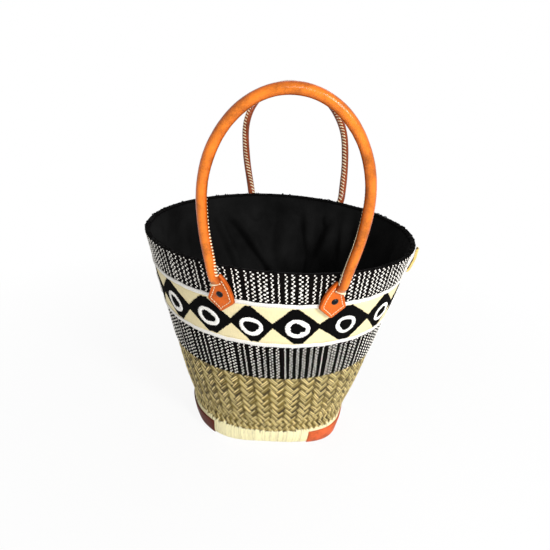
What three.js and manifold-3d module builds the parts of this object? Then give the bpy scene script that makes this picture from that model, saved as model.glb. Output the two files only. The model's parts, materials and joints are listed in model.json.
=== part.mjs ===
// Embroidered basket: an oval palm-leaf basket with two striped cloth bands, a cream panel of embroidered
// diamonds and rings between two white cords, a black lining, a bound foot with leather patches, and two
// rolled leather handles riveted through the wall.
// Millimetres, +Z up. The origin is the middle of the base, on the floor. X runs along the longer side of
// the mouth, and -Y is the front.

import * as THREE from 'three';
import { mergeVertices } from 'three/addons/utils/BufferGeometryUtils.js';
import loadManifold from 'manifold-3d';

const wasm = await loadManifold();
wasm.setup();

// Gap that pieces lying on each other keep
const CLEARANCE = 0.3;

// Basket body
const MOUTH_LENGTH = 400;
const MOUTH_WIDTH = 360;
const BASE_LENGTH = 236;
const BASE_WIDTH = 223;
const HEIGHT = 322;
const PALM_THICKNESS = 3;
const BASE_THICKNESS = 4;
const LINING_THICKNESS = 1;
const RIM_STITCH_THICKNESS = 0.8;
const RIM_STITCH_DEPTH = 8;

// Towards the floor the straight wall curves in, and its ends turn squarer, as a rounded oblong base
const BASE_CURVE_LENGTH = 20;
const BASE_CURVE_WIDTH = 15;
const BASE_CURVE_HEIGHT = 110;
const CORNER_POWER = 2.7;
const OVAL_POWER = 2;
const CORNER_HEIGHT = 42;
const CURVE_MIDDLE = 72;

// Cloth bands and cords, stacked downwards from the rim
const UPPER_BAND_HEIGHT = 45;
const PANEL_HEIGHT = 66;
const LOWER_BAND_HEIGHT = 63;
const CLOTH_THICKNESS = 1.2;
const CORD_HEIGHT = 6.2;
const CORD_THICKNESS = 2.6;
const CORD_SIDES = 6;

// Embroidery on the panel
const DIAMOND_COUNT = 17;
const DIAMOND_MARGIN = 4.5;
const DIAMOND_TIP_HEIGHT = 4;
const PATTERN_START = 8.7;
const STITCH_THICKNESS = 0.7;
const RING_WIDTH = 34;
const RING_HEIGHT = 31;
const RING_STROKE = 5.8;
const RING_DROP = 3;
const RING_SIDES = 12;

// Foot
const FOOT_HEIGHT = 29;
const FOOT_THICKNESS = 2.2;
const FOOT_PATCH_LENGTH = 102;
const FOOT_PATCH_SPACING = 146;
const FOOT_PATCH_SHIFT = -6;
const FOOT_PATCH_THICKNESS = 1.6;
const FOOT_PATCH_LIFT = 1;
const FOOT_PATCH_DROP = 4;
const FOOT_PATCH_STEPS = 14;

// Strip over the end seam of the upper band
const SEAM_STRIP_PLACE = 236;
const SEAM_STRIP_WIDTH = 12;
const SEAM_STRIP_HEIGHT = 36;
const SEAM_STRIP_THICKNESS = 3.2;

// Handles
const ROLL_DIAMETER = 12.6;
const CORE_DIAMETER = 7.6;
const ROLL_SIDES = 10;
const CORE_SIDES = 6;
const ROLL_STEPS = 30;
const HANDLE_WIDTH = 183;
const ROLL_SPLAY = 7;
const FRONT_SHIFT = 8;
const REAR_SHIFT = 17;
const FRONT_SHOULDER = 88;
const REAR_SHOULDER = 98;
const FRONT_RISE = 216;
const REAR_RISE = 204;
const FRONT_LEAN = 14;
const REAR_LEAN = 28.7;
const FRONT_SWAY = 3;
const REAR_SWAY = 29;
const INWARD_LIMIT = -50;
const OUTWARD_LIMIT = 90;
const HINGE_ABOVE_RIM = 6;
const HINGE_GAP = 0.3;

// Tabs at the ends of the handles, measured from the rivet: out is the way that the leg spreads
const RIVET_SPACING = 142;
const RIVET_ABOVE_CORD = 11.5;
const TAB_WIDTH = 36.5;
const TAB_SHOULDER = 10.5;
const TAB_TIP = 28;
const TAB_OUTER_TOP = 13;
const TAB_INNER_TOP = 30;
const TAB_FLARE_WIDTH = 15;
const TAB_FLARE_HEIGHT = 16;
const TAB_FLARE_STEPS = 4;
const TAB_THICKNESS = 2.4;
const NECK_OUT = 3.5;
const NECK_START = 15;
const NECK_LENGTH = 12;
const NECK_THICKNESS = 5;
const BACKING_MARGIN = 0.8;
const BACKING_THICKNESS = 1.8;
const RIVET_CAP_DIAMETER = 9;
const RIVET_CAP_HEIGHT = 2;
const RIVET_CROWN_DIAMETER = 6;
const RIVET_CROWN_HEIGHT = 1.5;
const RIVET_SHANK_DIAMETER = 3.6;
const RIVET_TAIL_DIAMETER = 6.4;
const RIVET_TAIL_HEIGHT = 1;
const RIVET_TAIL_END_DIAMETER = 4.2;
const RIVET_SIDES = 12;
const WASHER_DIAMETER = 10;
const WASHER_THICKNESS = 1;

// Heights above the floor
const LAYER_TOP = HEIGHT - RIM_STITCH_THICKNESS - CLEARANCE;
const UPPER_CORD_Z = HEIGHT - UPPER_BAND_HEIGHT;
const LOWER_CORD_Z = UPPER_CORD_Z - PANEL_HEIGHT;
const LOWER_BAND_Z = LOWER_CORD_Z - LOWER_BAND_HEIGHT;
const PANEL_MID_Z = (UPPER_CORD_Z + LOWER_CORD_Z) / 2;
const CORD_EDGE = CORD_HEIGHT / 2 + CLEARANCE;
const RIVET_Z = UPPER_CORD_Z + RIVET_ABOVE_CORD;
const HINGE_Z = HEIGHT + HINGE_ABOVE_RIM;

// Distances out from the palm's outer face, layer by layer
const LINING_OUT = -PALM_THICKNESS - CLEARANCE;
const LINING_IN = LINING_OUT - LINING_THICKNESS;
const CLOTH_IN = CLEARANCE;
const CLOTH_OUT = CLOTH_IN + CLOTH_THICKNESS;
const DIAMOND_IN = CLOTH_OUT + CLEARANCE;
const DIAMOND_OUT = DIAMOND_IN + STITCH_THICKNESS;
const RING_IN = DIAMOND_OUT + CLEARANCE;
const RING_OUT = RING_IN + STITCH_THICKNESS;
const CORD_OUT = CLEARANCE + CORD_THICKNESS;
const BACKING_IN = Math.max(RING_OUT, CORD_OUT) + CLEARANCE;
const BACKING_OUT = BACKING_IN + BACKING_THICKNESS;
const TAB_IN = BACKING_OUT + CLEARANCE;
const TAB_OUT = TAB_IN + TAB_THICKNESS;
const ROLL_OUT = TAB_IN + ROLL_DIAMETER / 2;
const RIM_OUT = DIAMOND_IN + RIM_STITCH_THICKNESS;
const RIM_IN = LINING_IN - CLEARANCE - RIM_STITCH_THICKNESS;

// Stations round the wall, the same all the way up, so that neighbouring layers stay parallel
const STATIONS_PER_DIAMOND = 4;
const SEGMENTS = STATIONS_PER_DIAMOND * DIAMOND_COUNT;
const FULL_TURN = 2 * Math.PI;
const rollSplay = THREE.MathUtils.degToRad(ROLL_SPLAY);

// Size of the trimming wedges, well past the whole handle
const WEDGE_REACH = 4 * (FRONT_RISE + HANDLE_WIDTH);

// Corners nearer than this are one corner
const WELD_DISTANCE = 1e-4;

// The flaring oval wall
const drawIn = (z) => Math.max(0, 1 - z / BASE_CURVE_HEIGHT) ** 2;
function sizeAt(z, base, curve, mouth) {
  return THREE.MathUtils.lerp(base + curve, mouth, z / HEIGHT) - curve * drawIn(z);
}
const halfLength = (z) => sizeAt(z, BASE_LENGTH, BASE_CURVE_LENGTH, MOUTH_LENGTH) / 2;
const halfWidth = (z) => sizeAt(z, BASE_WIDTH, BASE_CURVE_WIDTH, MOUTH_WIDTH) / 2;
const meanRadius = (z) => (halfLength(z) + halfWidth(z)) / 2;

const panelOval = new THREE.EllipseCurve(
  0, 0, halfLength(PANEL_MID_Z), halfWidth(PANEL_MID_Z), -Math.PI / 2, 1.5 * Math.PI,
);
panelOval.arcLengthDivisions = 2000;
const PANEL_GIRTH = panelOval.getLength();

// Angle of a place on the wall, given as a distance from the front centre along the middle of the panel
function angleAt(place) {
  const turn = THREE.MathUtils.euclideanModulo(place / PANEL_GIRTH, 1);
  const spot = panelOval.getPointAt(turn);
  return Math.atan2(spot.y / panelOval.yRadius, spot.x / panelOval.xRadius);
}

// A distance along the wall at height z, as a distance along the middle of the panel
const alongPanel = (distance, z) => (distance * meanRadius(PANEL_MID_Z)) / meanRadius(z);

// How far the rounded oblong reaches past the plain oval, at an angle and height
function squareness(angle, z) {
  const power = THREE.MathUtils.lerp(OVAL_POWER, CORNER_POWER, Math.max(0, 1 - z / CORNER_HEIGHT));
  return (Math.abs(Math.cos(angle)) ** power + Math.abs(Math.sin(angle)) ** power) ** (-1 / power);
}

// Point at a place and height, a distance out from the palm's outer face
function wallPoint(place, z, out) {
  const angle = angleAt(place);
  const grow = (1 + out / meanRadius(z)) * squareness(angle, z);
  return new THREE.Vector3(halfLength(z) * grow * Math.cos(angle), halfWidth(z) * grow * Math.sin(angle), z);
}

// Frame on the palm's outer face: X along the wall, Y up the wall, Z straight out
function wallFrame(place, z) {
  const angle = angleAt(place);
  const along = new THREE.Vector3(-halfLength(z) * Math.sin(angle), halfWidth(z) * Math.cos(angle), 0);
  along.normalize();
  const upper = wallPoint(place, HEIGHT, 0);
  const up = upper.sub(wallPoint(place, BASE_CURVE_HEIGHT, 0)).normalize();
  const out = new THREE.Vector3().crossVectors(along, up).normalize();
  const frame = new THREE.Matrix4().makeBasis(along, new THREE.Vector3().crossVectors(out, along), out);
  return frame.setPosition(wallPoint(place, z, 0));
}

// Solids

// Welds a geometry into one closed mesh whose faces point out
function closed(geometry) {
  const bare = geometry.clone();
  bare.deleteAttribute('normal');
  bare.deleteAttribute('uv');
  const welded = mergeVertices(bare, WELD_DISTANCE);
  const source = welded.index.array;
  const corner = [new THREE.Vector3(), new THREE.Vector3(), new THREE.Vector3()];
  const triangles = [];
  let volume = 0;
  for (let i = 0; i < source.length; i += 3) {
    const [a, b, c] = [source[i], source[i + 1], source[i + 2]];
    if (a === b || b === c || c === a) continue;
    triangles.push([a, b, c]);
    [a, b, c].forEach((vertex, k) => corner[k].fromBufferAttribute(welded.attributes.position, vertex));
    volume += corner[0].dot(corner[1].cross(corner[2])) / 6;
  }
  const ordered = volume > 0 ? triangles : triangles.map(([a, b, c]) => [a, c, b]);
  welded.setIndex(ordered.flat());
  welded.clearGroups();
  return welded;
}

function toSolid(geometry) {
  const mesh = closed(geometry);
  return new wasm.Manifold(new wasm.Mesh({
    numProp: 3,
    vertProperties: Float32Array.from(mesh.attributes.position.array),
    triVerts: Uint32Array.from(mesh.index.array),
  }));
}

function toGeometry(solid) {
  const mesh = solid.getMesh();
  const geometry = new THREE.BufferGeometry();
  geometry.setAttribute('position', new THREE.BufferAttribute(mesh.vertProperties, mesh.numProp));
  geometry.setIndex(new THREE.BufferAttribute(mesh.triVerts, 1));
  return geometry;
}

// Profile points for a body that runs round the wall
const onWall = (out, z) => new THREE.Vector2(meanRadius(z) + out, z);
const onAxis = (z) => new THREE.Vector2(0, z);
const looped = (points) => [...points, points[0]];

// A profile carried round the oval wall; heightAt may change a height with the turn
function roundTheWall(profile, heightAt = (turn, z) => z) {
  const lathe = new THREE.LatheGeometry(profile, SEGMENTS);
  const position = lathe.attributes.position;
  for (let i = 0; i < position.count; i += 1) {
    const turn = Math.atan2(position.getX(i), position.getZ(i)) / FULL_TURN;
    const out = Math.hypot(position.getX(i), position.getZ(i)) - meanRadius(position.getY(i));
    const place = PATTERN_START + turn * PANEL_GIRTH;
    const spot = wallPoint(place, heightAt(turn, position.getY(i)), out);
    position.setXYZ(i, spot.x, spot.y, spot.z);
  }
  return closed(lathe);
}

// The heights at which a layer that runs down into the curve bends
const bends = [FOOT_HEIGHT, CORNER_HEIGHT, CURVE_MIDDLE, BASE_CURVE_HEIGHT];
const bentUp = (out) => bends.map((z) => onWall(out, z));
const bentDown = (out) => bentUp(out).reverse();

const wallLayer = (inside, outside, bottom, top) => roundTheWall(looped([
  onWall(inside, bottom), onWall(outside, bottom), onWall(outside, top), onWall(inside, top),
]));

// A flat piece, lying in X and Y with its thickness along Z, bent onto the wall
function bentOnWall(geometry, place, z, out) {
  const position = geometry.attributes.position;
  for (let i = 0; i < position.count; i += 1) {
    const spot = wallPoint(place + position.getX(i), z + position.getY(i), out + position.getZ(i));
    position.setXYZ(i, spot.x, spot.y, spot.z);
  }
  return closed(geometry);
}

// A lathed piece turned so that its axis is Z
const turned = (points, sides) => new THREE.LatheGeometry(points, sides).rotateX(Math.PI / 2);

// Materials
function finish(color, roughness, metalness = 0) {
  return new THREE.MeshStandardMaterial({ color, roughness, metalness });
}
const palm = finish('#8C7A40', 0.8);
const blackCloth = finish('#1A1416', 0.9);
const blackLining = finish('#0A0A0A', 0.95);
const creamRaffia = finish('#EAD9A8', 0.85);
const footRaffia = finish('#E8DFAE', 0.85);
const whiteYarn = finish('#F2EEE6', 0.9);
const blackYarn = finish('#141113', 0.8);
const handleLeather = finish('#E07A2E', 0.4);
const tabLeather = finish('#DC6A2A', 0.5);
const footLeather = finish('#B9482A', 0.5);
const rope = finish('#C9B78A', 0.95);
const seamStrip = finish('#D9B45C', 0.6);
const rivetMetal = finish('#6A6C6E', 0.35, 1);

const basket = new THREE.Group();

function addPiece(parent, name, geometry, material) {
  const mesh = new THREE.Mesh(geometry, material);
  mesh.name = name;
  parent.add(mesh);
}

// Where the handles are riveted on

// Frame at a rivet, and the frame of the roll that leaves its tab; side is -1 for the left leg and 1 for the
// right one
function makeFitting(name, place, side) {
  const frame = wallFrame(place, RIVET_Z);
  const rollFrame = frame.clone()
    .multiply(new THREE.Matrix4().makeTranslation(side * NECK_OUT, NECK_START, 0))
    .multiply(new THREE.Matrix4().makeRotationZ(-side * rollSplay));
  const rise = new THREE.Vector3(0, 1, 0).transformDirection(rollFrame);
  const rollEnd = new THREE.Vector3(0, 0, ROLL_OUT).applyMatrix4(rollFrame);
  const hingeHeight = (HINGE_Z - rollEnd.z) / rise.z;
  const hinge = new THREE.Vector3(0, hingeHeight, ROLL_OUT).applyMatrix4(rollFrame);
  return { name, side, frame, rollFrame, rise, hingeHeight, hinge };
}

// Pose holds the handle's lean, its rise, the height of its shoulders and its sway, which is how far its top
// hangs towards its right leg
function makeHandleSeat(name, centre, pose) {
  const reach = alongPanel(RIVET_SPACING / 2, RIVET_Z);
  const fittings = [
    makeFitting(`${name}_left`, centre - reach, -1),
    makeFitting(`${name}_right`, centre + reach, 1),
  ];
  const [left, right] = fittings.map((fitting) => fitting.hinge);
  const turn = Math.atan2(right.y - left.y, right.x - left.x);
  const frame = new THREE.Matrix4().makeRotationZ(turn);
  const inward = new THREE.Vector3(0, 1, 0).transformDirection(frame);
  const stubRise = new THREE.Vector3().addVectors(fittings[0].rise, fittings[1].rise);
  const stubLean = Math.atan2(-stubRise.dot(inward), stubRise.z);
  frame.setPosition(new THREE.Vector3().lerpVectors(left, right, 0.5));
  return { name, fittings, frame, ...pose, stubLean, halfSpan: left.distanceTo(right) / 2 };
}

const frontCentre = alongPanel(FRONT_SHIFT, RIVET_Z);
const rearCentre = PANEL_GIRTH / 2 - alongPanel(REAR_SHIFT, RIVET_Z);
const handleSeats = [
  makeHandleSeat('front', frontCentre, {
    lean: THREE.MathUtils.degToRad(FRONT_LEAN), rise: FRONT_RISE, shoulder: FRONT_SHOULDER, sway: FRONT_SWAY,
  }),
  makeHandleSeat('rear', rearCentre, {
    lean: THREE.MathUtils.degToRad(REAR_LEAN), rise: REAR_RISE, shoulder: REAR_SHOULDER, sway: REAR_SWAY,
  }),
];
const fittings = handleSeats.flatMap((seat) => seat.fittings);

// Cuts the four rivet holes through a layer of the wall
function drilled(geometry) {
  const hole = new THREE.CylinderGeometry(
    RIVET_SHANK_DIAMETER / 2 + CLEARANCE, RIVET_SHANK_DIAMETER / 2 + CLEARANCE, 2 * TAB_OUT, RIVET_SIDES,
  ).rotateX(Math.PI / 2);
  const cut = (solid, fitting) => solid.subtract(toSolid(hole.clone().applyMatrix4(fitting.frame)));
  return toGeometry(fittings.reduce(cut, toSolid(geometry)));
}

// Palm body and lining

// The palm's profile runs down its outer face, so that its facets split as those of the layers on it do
const palmShell = roundTheWall([
  onAxis(BASE_THICKNESS), onWall(-PALM_THICKNESS, BASE_THICKNESS), ...bentUp(-PALM_THICKNESS),
  onWall(-PALM_THICKNESS, LAYER_TOP), onWall(0, LAYER_TOP), ...bentDown(0), onWall(0, 0), onAxis(0),
]);
addPiece(basket, 'palm_basket', drilled(palmShell), palm);

const liningFloor = BASE_THICKNESS + CLEARANCE;
const liningWall = roundTheWall(looped([
  onWall(LINING_IN, liningFloor), onWall(LINING_OUT, liningFloor), ...bentUp(LINING_OUT),
  onWall(LINING_OUT, LAYER_TOP), onWall(LINING_IN, LAYER_TOP), ...bentDown(LINING_IN),
]));
addPiece(basket, 'lining_wall', drilled(liningWall), blackLining);

const liningBase = roundTheWall([
  onAxis(liningFloor), onWall(LINING_IN - CLEARANCE, liningFloor),
  onWall(LINING_IN - CLEARANCE, liningFloor + LINING_THICKNESS), onAxis(liningFloor + LINING_THICKNESS),
]);
addPiece(basket, 'lining_base', liningBase, blackLining);

// Rim: a thin channel of thread over the edges of the band, the palm and the lining
const rimFoot = HEIGHT - RIM_STITCH_DEPTH;
const rimRoof = HEIGHT - RIM_STITCH_THICKNESS;
const rimStitch = roundTheWall(looped([
  onWall(DIAMOND_IN, rimFoot), onWall(RIM_OUT, rimFoot), onWall(RIM_OUT, HEIGHT), onWall(RIM_IN, HEIGHT),
  onWall(RIM_IN, rimFoot), onWall(RIM_IN + RIM_STITCH_THICKNESS, rimFoot),
  onWall(RIM_IN + RIM_STITCH_THICKNESS, rimRoof), onWall(DIAMOND_IN, rimRoof),
]));
addPiece(basket, 'rim_overcast', rimStitch, blackYarn);

// Bands, panel and cords

const upperBand = wallLayer(CLOTH_IN, CLOTH_OUT, UPPER_CORD_Z + CORD_EDGE, LAYER_TOP);
addPiece(basket, 'upper_striped_band', drilled(upperBand), blackCloth);

const panel = wallLayer(CLOTH_IN, CLOTH_OUT, LOWER_CORD_Z + CORD_EDGE, UPPER_CORD_Z - CORD_EDGE);
addPiece(basket, 'embroidered_panel', panel, creamRaffia);

const lowerBand = wallLayer(CLOTH_IN, CLOTH_OUT, LOWER_BAND_Z, LOWER_CORD_Z - CORD_EDGE);
addPiece(basket, 'lower_striped_band', lowerBand, blackCloth);

// Flattened cord, with an oval section
function seamCord(z) {
  const oval = new THREE.EllipseCurve(CLEARANCE + CORD_THICKNESS / 2, z, CORD_THICKNESS / 2, CORD_HEIGHT / 2);
  const section = oval.getPoints(CORD_SIDES).slice(1);
  return roundTheWall(looped(section.map((spot) => onWall(spot.x, spot.y))));
}
addPiece(basket, 'upper_white_cord', seamCord(UPPER_CORD_Z), whiteYarn);
addPiece(basket, 'lower_white_cord', seamCord(LOWER_CORD_Z), whiteYarn);

// Diamonds: one band whose height runs up and down, so that each diamond meets the next at its tip
const diamondHeight = PANEL_HEIGHT - 2 * DIAMOND_MARGIN;
function diamondEdge(turn, z) {
  const across = THREE.MathUtils.euclideanModulo(turn * DIAMOND_COUNT, 1);
  const fullness = 1 - Math.abs(2 * across - 1);
  const height = THREE.MathUtils.lerp(DIAMOND_TIP_HEIGHT, diamondHeight, fullness);
  return PANEL_MID_Z + Math.sign(z - PANEL_MID_Z) * (height / 2);
}
const tipBottom = PANEL_MID_Z - DIAMOND_TIP_HEIGHT / 2;
const tipTop = PANEL_MID_Z + DIAMOND_TIP_HEIGHT / 2;
const diamondBand = [
  onWall(DIAMOND_IN, tipBottom), onWall(DIAMOND_OUT, tipBottom),
  onWall(DIAMOND_OUT, tipTop), onWall(DIAMOND_IN, tipTop),
];
addPiece(basket, 'embroidered_diamonds', roundTheWall(looped(diamondBand), diamondEdge), blackYarn);

const ringSection = [
  new THREE.Vector2(RING_HEIGHT / 2 - RING_STROKE, 0), new THREE.Vector2(RING_HEIGHT / 2, 0),
  new THREE.Vector2(RING_HEIGHT / 2, STITCH_THICKNESS),
  new THREE.Vector2(RING_HEIGHT / 2 - RING_STROKE, STITCH_THICKNESS),
];
const ringMid = PANEL_MID_Z - RING_DROP;
for (let ring = 0; ring < DIAMOND_COUNT; ring += 1) {
  const flat = turned(looped(ringSection), RING_SIDES).scale(RING_WIDTH / RING_HEIGHT, 1, 1);
  const place = PATTERN_START + ((ring + 0.5) / DIAMOND_COUNT) * PANEL_GIRTH;
  const number = String(ring + 1).padStart(2, '0');
  addPiece(basket, `embroidered_ring_${number}`, bentOnWall(flat, place, ringMid, RING_IN), whiteYarn);
}

// Foot: the raffia binding and its four leather patches

const footBinding = wallLayer(CLEARANCE, CLEARANCE + FOOT_THICKNESS, 0, FOOT_HEIGHT);
addPiece(basket, 'foot_binding', footBinding, footRaffia);

const patchHeight = FOOT_HEIGHT - FOOT_PATCH_LIFT - FOOT_PATCH_DROP;
const patchMid = FOOT_PATCH_LIFT + patchHeight / 2;
const patchLength = alongPanel(FOOT_PATCH_LENGTH, patchMid);
const patchReach = alongPanel(FOOT_PATCH_SPACING / 2, patchMid) + patchLength / 2;
const patchShift = alongPanel(FOOT_PATCH_SHIFT, patchMid);
const patchPlaces = {
  front_left: patchShift - patchReach,
  front_right: patchShift + patchReach,
  rear_left: PANEL_GIRTH / 2 - patchShift - patchReach,
  rear_right: PANEL_GIRTH / 2 - patchShift + patchReach,
};
for (const [corner, place] of Object.entries(patchPlaces)) {
  const flat = new THREE.BoxGeometry(patchLength, patchHeight, FOOT_PATCH_THICKNESS, FOOT_PATCH_STEPS, 1, 1);
  const out = 2 * CLEARANCE + FOOT_THICKNESS + FOOT_PATCH_THICKNESS / 2;
  addPiece(basket, `foot_patch_${corner}`, bentOnWall(flat, place, patchMid, out), footLeather);
}

// Strip over the band's end seam, from the rim downwards
const stripFlat = new THREE.BoxGeometry(SEAM_STRIP_WIDTH, SEAM_STRIP_HEIGHT, SEAM_STRIP_THICKNESS, 2, 1, 1);
const stripOut = RIM_OUT + CLEARANCE + SEAM_STRIP_THICKNESS / 2;
const stripMid = LAYER_TOP - SEAM_STRIP_HEIGHT / 2;
addPiece(basket, 'side_seam_strip', bentOnWall(stripFlat, SEAM_STRIP_PLACE, stripMid, stripOut), seamStrip);

// Handles

// Pointed leaf with the rivet hole at its origin, whose inner side flares up along the roll
function leafShape(side, margin) {
  const rollEdge = (height, edge) => side * (
    NECK_OUT + (height - NECK_START) * Math.tan(rollSplay) + edge * (ROLL_DIAMETER / 2)
  );
  const half = side * (TAB_WIDTH / 2 + margin);
  const shoulder = -TAB_SHOULDER - margin;
  const flare = new THREE.QuadraticBezierCurve(
    new THREE.Vector2(-half, shoulder),
    new THREE.Vector2(-side * (TAB_FLARE_WIDTH + margin), TAB_FLARE_HEIGHT),
    new THREE.Vector2(rollEdge(TAB_INNER_TOP, -1), TAB_INNER_TOP),
  );
  const leaf = new THREE.Shape([
    new THREE.Vector2(rollEdge(TAB_OUTER_TOP, 1), TAB_OUTER_TOP), new THREE.Vector2(half, shoulder),
    new THREE.Vector2(0, -TAB_TIP - margin), ...flare.getPoints(TAB_FLARE_STEPS),
  ]);
  leaf.holes.push(new THREE.Path().absarc(0, 0, RIVET_SHANK_DIAMETER / 2 + CLEARANCE, 0, FULL_TURN));
  return leaf;
}

function leafPlate(shape, inside, thickness) {
  const plate = new THREE.ExtrudeGeometry(shape, {
    depth: thickness, bevelEnabled: false, curveSegments: RIVET_SIDES / 2,
  });
  return plate.translate(0, 0, inside);
}

// End of the roll, pressed flat towards the tab at its lower end
function pressedNeck() {
  const neck = new THREE.CylinderGeometry(ROLL_DIAMETER / 2, ROLL_DIAMETER / 2, NECK_LENGTH, ROLL_SIDES);
  neck.translate(0, NECK_LENGTH / 2, ROLL_DIAMETER / 2);
  const position = neck.attributes.position;
  for (let i = 0; i < position.count; i += 1) {
    const roundness = position.getY(i) / NECK_LENGTH;
    const thickness = THREE.MathUtils.lerp(NECK_THICKNESS, ROLL_DIAMETER, roundness);
    position.setZ(i, TAB_IN + (position.getZ(i) * thickness) / ROLL_DIAMETER);
  }
  return neck;
}

// Direction at an angle from upright, positive outwards, in a handle's own Y and Z
const leaning = (angle) => new THREE.Vector2(-Math.sin(angle), Math.cos(angle));

// Wedge along a handle's hinge line that trims a roll so that it can bend there
function hingeWedge(from, to, apex) {
  const shape = new THREE.Shape([
    apex,
    leaning(from).multiplyScalar(WEDGE_REACH).add(apex),
    leaning(to).multiplyScalar(WEDGE_REACH).add(apex),
  ]);
  const wedge = new THREE.ExtrudeGeometry(shape, { depth: WEDGE_REACH, bevelEnabled: false });
  const intoHandle = new THREE.Matrix4().makeBasis(
    new THREE.Vector3(0, 1, 0), new THREE.Vector3(0, 0, 1), new THREE.Vector3(1, 0, 0),
  );
  return wedge.translate(0, 0, -WEDGE_REACH / 2).applyMatrix4(intoHandle);
}

const inwardLimit = THREE.MathUtils.degToRad(INWARD_LIMIT);
const outwardLimit = THREE.MathUtils.degToRad(OUTWARD_LIMIT);

// Tab with its neck and the stub of roll that stands up past the rim
function tabSolid(fitting, seat) {
  const plate = leafPlate(leafShape(fitting.side, 0), TAB_IN, TAB_THICKNESS);
  const radius = ROLL_DIAMETER / 2;
  const stubLength = fitting.hingeHeight + radius - NECK_LENGTH;
  const stub = new THREE.CylinderGeometry(radius, radius, stubLength, ROLL_SIDES)
    .translate(0, NECK_LENGTH + stubLength / 2, ROLL_OUT);
  const wedge = hingeWedge(
    (outwardLimit + seat.stubLean + Math.PI) / 2,
    (inwardLimit + seat.stubLean - Math.PI) / 2,
    leaning(seat.stubLean).multiplyScalar(-HINGE_GAP),
  );
  const plateSolid = toSolid(plate.applyMatrix4(fitting.frame));
  const neckSolid = toSolid(pressedNeck().applyMatrix4(fitting.rollFrame));
  const stubSolid = toSolid(stub.applyMatrix4(fitting.rollFrame));
  return plateSolid.add(neckSolid).add(stubSolid).intersect(toSolid(wedge.applyMatrix4(seat.frame)));
}

// Rivet: domed cap, shank and the tail closed over the washer
const washerFace = LINING_IN - CLEARANCE;
const tailFace = washerFace - WASHER_THICKNESS - CLEARANCE;
const capFace = TAB_OUT + CLEARANCE;
const rivetProfile = [
  onAxis(capFace + RIVET_CAP_HEIGHT),
  new THREE.Vector2(RIVET_CROWN_DIAMETER / 2, capFace + RIVET_CROWN_HEIGHT),
  new THREE.Vector2(RIVET_CAP_DIAMETER / 2, capFace),
  new THREE.Vector2(RIVET_SHANK_DIAMETER / 2, capFace),
  new THREE.Vector2(RIVET_SHANK_DIAMETER / 2, tailFace),
  new THREE.Vector2(RIVET_TAIL_DIAMETER / 2, tailFace),
  new THREE.Vector2(RIVET_TAIL_END_DIAMETER / 2, tailFace - RIVET_TAIL_HEIGHT),
  onAxis(tailFace - RIVET_TAIL_HEIGHT),
];
const washerHole = RIVET_SHANK_DIAMETER / 2 + CLEARANCE;
const washerProfile = looped([
  new THREE.Vector2(washerHole, washerFace - WASHER_THICKNESS),
  new THREE.Vector2(WASHER_DIAMETER / 2, washerFace - WASHER_THICKNESS),
  new THREE.Vector2(WASHER_DIAMETER / 2, washerFace),
  new THREE.Vector2(washerHole, washerFace),
]);

function addTab(fitting, seat) {
  addPiece(basket, `${fitting.name}_tab`, toGeometry(tabSolid(fitting, seat)), tabLeather);
  const group = new THREE.Group();
  group.applyMatrix4(fitting.frame);
  const backingShape = leafShape(fitting.side, BACKING_MARGIN);
  const backing = closed(leafPlate(backingShape, BACKING_IN, BACKING_THICKNESS));
  addPiece(group, `${fitting.name}_backing`, backing, tabLeather);
  addPiece(group, `${fitting.name}_rivet`, closed(turned(rivetProfile, RIVET_SIDES)), rivetMetal);
  addPiece(group, `${fitting.name}_washer`, closed(turned(washerProfile, RIVET_SIDES)), rivetMetal);
  basket.add(group);
}

// Centre line of a handle, in its own plane: two legs that spread to the shoulders and an arched top. Each
// leg starts a little below the hinge, to be trimmed there.
function handleLine(seat) {
  const halfWide = HANDLE_WIDTH / 2;
  const { rise, shoulder } = seat;
  const arch = rise - shoulder;
  const round = 4 / 3 * Math.tan(Math.PI / 8);
  const spot = (x, z) => new THREE.Vector3(x + (seat.sway * z) / rise, 0, z);
  const splayed = (side, z) => spot(side * (seat.halfSpan + z * Math.tan(rollSplay)), z);
  const line = new THREE.CurvePath();
  for (const side of [-1, 1]) {
    const foot = [splayed(side, -ROLL_DIAMETER / 2), splayed(side, 0)];
    const leg = [
      foot[1], splayed(side, shoulder / 3),
      spot(side * halfWide, shoulder / 2), spot(side * halfWide, shoulder),
    ];
    const top = [
      leg[3], spot(side * halfWide, shoulder + round * arch),
      spot(side * round * halfWide, rise), spot(0, rise),
    ];
    const inOrder = (points) => (side < 0 ? points : points.toReversed());
    const pieces = [
      new THREE.LineCurve3(...inOrder(foot)),
      new THREE.CubicBezierCurve3(...inOrder(leg)),
      new THREE.CubicBezierCurve3(...inOrder(top)),
    ];
    inOrder(pieces).forEach((piece) => line.add(piece));
  }
  return line;
}

function tubeAlong(line, diameter, sides) {
  const section = new THREE.Shape().absarc(0, 0, diameter / 2, 0, FULL_TURN);
  return new THREE.ExtrudeGeometry(section, {
    steps: ROLL_STEPS, curveSegments: sides / 2, extrudePath: line,
  });
}

function addHandle(seat) {
  const line = handleLine(seat);
  const wedge = toSolid(hingeWedge(
    (inwardLimit - seat.stubLean + Math.PI) / -2,
    (seat.stubLean + Math.PI - outwardLimit) / 2,
    new THREE.Vector2(0, HINGE_GAP),
  ));
  const bore = toSolid(tubeAlong(line, CORE_DIAMETER + 2 * CLEARANCE, CORE_SIDES));
  const roll = toSolid(tubeAlong(line, ROLL_DIAMETER, ROLL_SIDES)).subtract(bore).intersect(wedge);
  const core = toSolid(tubeAlong(line, CORE_DIAMETER, CORE_SIDES)).intersect(wedge);
  const leaned = new THREE.Group();
  leaned.rotation.x = seat.lean;
  addPiece(leaned, `${seat.name}_handle_roll`, toGeometry(roll), handleLeather);
  addPiece(leaned, `${seat.name}_handle_core`, toGeometry(core), rope);
  const standing = new THREE.Group();
  standing.applyMatrix4(seat.frame);
  standing.add(leaned);
  basket.add(standing);
}

for (const seat of handleSeats) {
  seat.fittings.forEach((fitting) => addTab(fitting, seat));
  addHandle(seat);
}

export default basket;
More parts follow.
